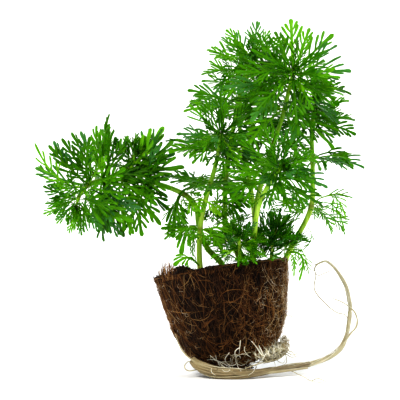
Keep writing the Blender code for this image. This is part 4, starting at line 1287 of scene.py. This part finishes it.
# More leaves, each grown by itself from a joint between the rings, with its bend and its tip given: long
# ones that cover the left branch, and at the foot of the plant leaves that hang over the rim, with threads
# round the lowest ring on the right. Those with a few broad fingers have shapes of their own.
SINGLE_LEAVES = {
    "branch_leaves": [
        ((-43.2, -13.3, 75.8), [("branch", (-34.9, -16, 83.5), (-26.9, -14, 94.6)),
                                ("dark", (-36, -11, 85.1), (-31.5, -6, 91.7)),
                                ("dark", (-32.6, -16, 81.6), (-23.3, -15, 89.3))]),
        ((-43.2, -13.3, 75.4), [("branch", (-32.6, -13, 80.3), (-22.2, -9, 84.8)),
                                ("branch", (-31.1, -17, 78.2), (-19.1, -18, 79.8)),
                                ("dark", (-33.4, -11, 77.5), (-24.3, -6, 75.2))]),
        ((-43.2, -13.3, 75), [("dark", (-34.1, -17, 73.3), (-25.4, -19, 68.1)),
                              ("branch", (-33.7, -13, 70.1), (-24.4, -10, 62.9)),
                              ("dark", (-36, -16, 68.3), (-27.9, -17, 57.7)),
                              ("dark", (-39, -10, 66.9), (-33.7, -5, 59.4))]),
        ((-49.6, -15, 75.1), [("branch", (-49.5, -17, 86), (-47.6, -15, 96)),
                              ("dark", (-46.6, -12, 84), (-45.1, -8, 90.7)),
                              ("dark", (-44.7, -16, 83.1), (-40.2, -15, 91.4))]),
        ((-49.6, -15, 74.3), [("branch", (-43.6, -18, 65.4), (-38.3, -20, 54.5)),
                              ("dark", (-45.9, -16, 64.1), (-41.7, -15, 53.1)),
                              ("dark", (-48.5, -12, 64.3), (-48.1, -10, 54.3))]),
        ((-56.5, -22, 71.3), [("branch", (-51.2, -26, 65.8), (-37.9, -27, 59.8))]),
        ((-56.5, -24, 72.2), [("thread", (-66.3, -27, 76.1), (-74.5, -29, 88.9))]),
        ((-54.2, -19, 73.2), [("branch", (-58.6, -22, 81), (-64.8, -22, 90.5)),
                              ("dark", (-56.4, -20, 83), (-61.5, -18, 92.5)),
                              ("dark", (-54.6, -21, 83), (-58, -19, 93))]),
        ((-55, -20, 73), [("dark", (-62.5, -24, 80), (-69.6, -24, 88))]),
        ((-49.6, -17, 75), [("branch", (-39, -21, 77), (-28, -20, 74))]),
        ((-49.6, -17, 74.5), [("dark", (-40, -22, 72.5), (-30, -22, 68))]),
        ((-43.2, -15.5, 75.3), [("branch", (-33, -20, 74.5), (-24, -20, 71.5))]),
        ((-43.2, -15.5, 75.5), [("dark", (-34, -19, 79), (-27.5, -19, 84.5))]),
        ((-49.6, -15, 75), [("branch", (-55, -21, 78.5), (-61, -24, 81)),
                            ("dark", (-50.5, -22, 80.5), (-50.5, -25, 87))]),
        ((-54.2, -19, 73.2), [("branch", (-61, -24, 73), (-69, -25, 70.5))]),
        ((-49.6, -15, 74.5), [("dark", (-50.5, -23, 69.5), (-50, -27, 61)),
                              ("branch", (-46, -23, 71.5), (-43, -26, 65))]),
        ((-49.6, -15, 75), [("dark", (-45.5, -22, 76.5), (-40.5, -26, 79))]),
    ],
    "low_leaves_left": [
        ((-13.5, -13, 55.1), [("hand", (-17.8, -17, 56), (-20.5, -19, 46.7))]),
        ((-13.3, -13, 55.1), [("hand", (-8.3, -17, 55.5), (-5.3, -20, 48.6))]),
        ((-13.1, -13, 55.3), [("low", (-4.9, -17, 56.8), (2.1, -19, 55.6))]),
        ((-13.6, -13, 55.1), [("low", (-20.5, -14, 56.8), (-28, -15, 56.3))]),
        ((-13.6, -13, 54.7), [("dark", (-15.7, -16, 51.6), (-15.9, -18, 46))]),
        ((-13.1, -13, 54.9), [("low", (-11.4, -10, 51.7), (-10.8, -9, 47.1))]),
        ((-13.6, -12, 54.8), [("low", (-15.9, -9, 54.3), (-17.1, -8, 48.9))]),
        ((-20.5, -10, 68.8), [("hand", (-22.2, -13, 64.7), (-23.9, -16, 53.1)),
                              ("hand", (-21.8, -14, 63.7), (-18.6, -17, 58.1)),
                              ("thin", (-23.3, -12, 65.1), (-27.7, -14, 59.1))]),
        ((-20.5, -9, 68.9), [("thin", (-17.2, -12, 65.8), (-20.8, -15, 61.8))]),
        ((-13.3, -12, 67.3), [("hand", (-15.9, -15, 67.1), (-16.9, -18, 61))]),
        ((-12.9, -12, 67.3), [("hand", (-13.6, -16, 66), (-13.6, -18, 60.8))]),
        ((-7.7, -4, 64.7), [("hand", (-10.2, -8, 62.6), (-11.4, -10, 59.1))]),
        ((-7.7, -4, 64.3), [("low", (-8.3, -9, 61.5), (-8.3, -10, 58.1))]),
        ((-7.6, -4, 64.7), [("low", (-4.9, -8, 63.3), (-3.2, -10, 58.5))]),
        ((-7.6, -4, 65.4), [("hand", (-1.9, -7, 64.8), (1.5, -9, 58.8))]),
        ((-7.2, -4, 65.8), [("low", (-1.5, -7, 65.9), (4.2, -9, 61.3))]),
        ((-7.2, -3, 65), [("pale", (-4.9, -5, 62.4), (-4.5, -6, 57.2))]),
        ((-7.2, -6, 65.5), [("hand", (-0.5, -11, 67.5), (5.5, -14, 64.5))]),
        ((-13.3, -14, 67.3), [("hand", (-9, -18, 65.5), (-5.5, -20, 61.5))]),
        ((-13.8, -16, 42.5), [("hand", (-18.2, -20, 45.8), (-22.9, -23, 43.1))]),
        ((-13.6, -17, 42.4), [("dark", (-15.9, -20, 45), (-17.8, -23, 44.8))]),
    ],
    "low_leaves_middle": [
        ((0.4, -19, 44.9), [("dark", (-3.4, -21, 46.9), (-7.6, -23, 43.8))]),
        ((0.8, -19, 44.6), [("dark", (-1.9, -22, 46.1), (-4.9, -24, 43.5))]),
        ((1.5, -19, 45.3), [("dark", (4.5, -22, 46.4), (8, -25, 43.7))]),
        ((2.3, -18, 49.8), [("hand", (4.5, -21, 51.9), (8, -23, 49.7))]),
        ((1.9, -18, 49.4), [("dark", (-1.1, -20, 51.8), (-3.4, -22, 48.9))]),
        ((1.9, -17, 49.8), [("low", (1.1, -18, 52.9), (-0.8, -19, 55.6)),
                            ("hand", (4.2, -18, 53.2), (5.7, -19, 56.3))]),
        ((4.9, -20, 43.9), [("pale", (5.9, -21, 45), (6.6, -22, 44.2))]),
        ((18.2, -17, 44.1), [("low", (15.9, -20, 45.9), (13.5, -23, 45))]),
    ],
    "low_leaves_right": [
        ((28.2, 4, 64.6), [("thread", (21.6, 1, 65.1), (12.5, -3, 60.2))]),
        ((27.9, 4, 64.4), [("thread", (24.3, 0, 62.4), (14.6, -4, 58.4))]),
        ((21.2, -8, 67.7), [("fine", (23.5, -10, 63.4), (17.2, -12, 57.1))]),
        ((29.4, 4, 64.8), [("thread", (36.8, 1, 68.4), (44.7, -1, 67.3))]),
        ((29.6, 4, 64.6), [("thread", (37.1, 0, 67.7), (42.1, -2, 59.6))]),
        ((29.6, 4, 64.2), [("thread", (37.1, 1, 64.2), (41.3, -1, 54.6))]),
        ((29.6, 3, 64.3), [("low", (31.3, 1, 63.6), (31.5, 0, 59.5))]),
        ((27.5, 3, 55.7), [("thin", (29, 0, 51.9), (25.4, -4, 47.4))]),
        ((27.1, 3, 55.6), [("thin", (26.5, 0, 52.3), (23.1, -3, 50.2))]),
        ((20.1, -12, 47), [("pale", (23.1, -15, 48.3), (25.4, -17, 47.5)),
                           ("pale", (25, -16, 45.5), (23.5, -19, 37.2))]),
        ((20.1, -13, 46.5), [("pale", (21.8, -17, 44.8), (21.2, -20, 38.9))]),
        ((11.7, -8, 54.6), [("low", (12.5, -10, 57), (15, -12, 56.5))]),
        ((10.2, -9, 53.9), [("low", (8, -12, 56.3), (4.5, -14, 56.1))]),
    ],
}
LOW_TUFTS = [("tuft", (11.0, -13.0, 47.5), (-0.1, -0.6, 0.8), 16, 11.0),
             ("tuft", (6.5, -16.0, 47.0), (-0.3, -0.5, 0.8), 14, 9.0),
             ("tuft", (9.0, -15.0, 51.5), (-0.2, -0.6, 0.7), 14, 10.0),
             ("tuft", (13.5, -12.0, 51.5), (0.5, -0.6, 0.6), 16, 11.0),
             ("tuft", (16.0, -8.0, 54.5), (0.6, -0.5, 0.8), 14, 12.0),
             ("tuft", (-3.5, -10.0, 46.5), (-0.1, -0.6, 0.6), 10, 8.0),
             ("low", (3.5, -19.0, 46.0), (0.2, -0.5, 0.7), 8, 8.0),
             ("low", (19.5, -10.0, 49.0), (0.4, -0.6, 0.4), 9, 8.0),
             ("low", (18.0, -11.0, 52.5), (0.5, -0.6, 0.3), 8, 8.0),
             ("low", (-6.5, -9.0, 60.5), (0.1, -0.6, 0.4), 11, 11.0),
             ("low", (-1.0, -9.0, 58.0), (0.3, -0.7, 0.2), 10, 11.0),
             ("low", (-6.5, -11.0, 52.0), (-0.1, -0.7, 0.4), 9, 10.0),
             ("low", (0.0, -12.0, 51.5), (0.1, -0.7, 0.5), 9, 9.0),
             ("tuft", (19.5, -4.0, 49.5), (0.2, -0.7, 0.5), 12, 9.0),
             ("tuft", (22.0, -3.0, 52.0), (0.3, -0.7, 0.3), 9, 8.0)]
TUFT_SPREAD = 75.0
TUFT_DEPTH = 2.5
HAND_KINDS = {
    "hand_1": LeafKind(2, 0.40, 0.68, (0.42, 0.30), (38, 30), 0.078, 0.082, 0.126, (0,)),
    "hand_2": LeafKind(3, 0.34, 0.76, (0.36, 0.22), (42, 30), 0.074, 0.074, 0.112, ()),
}

leaf_shapes.update({name: lobed_leaf(kind) for name, kind in HAND_KINDS.items()})

for name, joints in SINGLE_LEAVES.items():
    leaves = []
    for joint, rows in joints:
        for style, bend, end in rows:
            place = LeafPlace(*np.array((joint, bend, end), dtype=float))
            add_leaf(leaves, place, LIGHT_WAY, style)
    join_leaves(leaves, name)
leaves = []
for style, tip, growth, count, length in LOW_TUFTS:
    growth = unit(np.array(growth))
    for place in shoot_leaves(np.array(tip), growth, count, length, TUFT_SPREAD, TUFT_DEPTH):
        add_leaf(leaves, above_rim(place), growth + LIGHT_WAY, style)
join_leaves(leaves, "low_tufts")
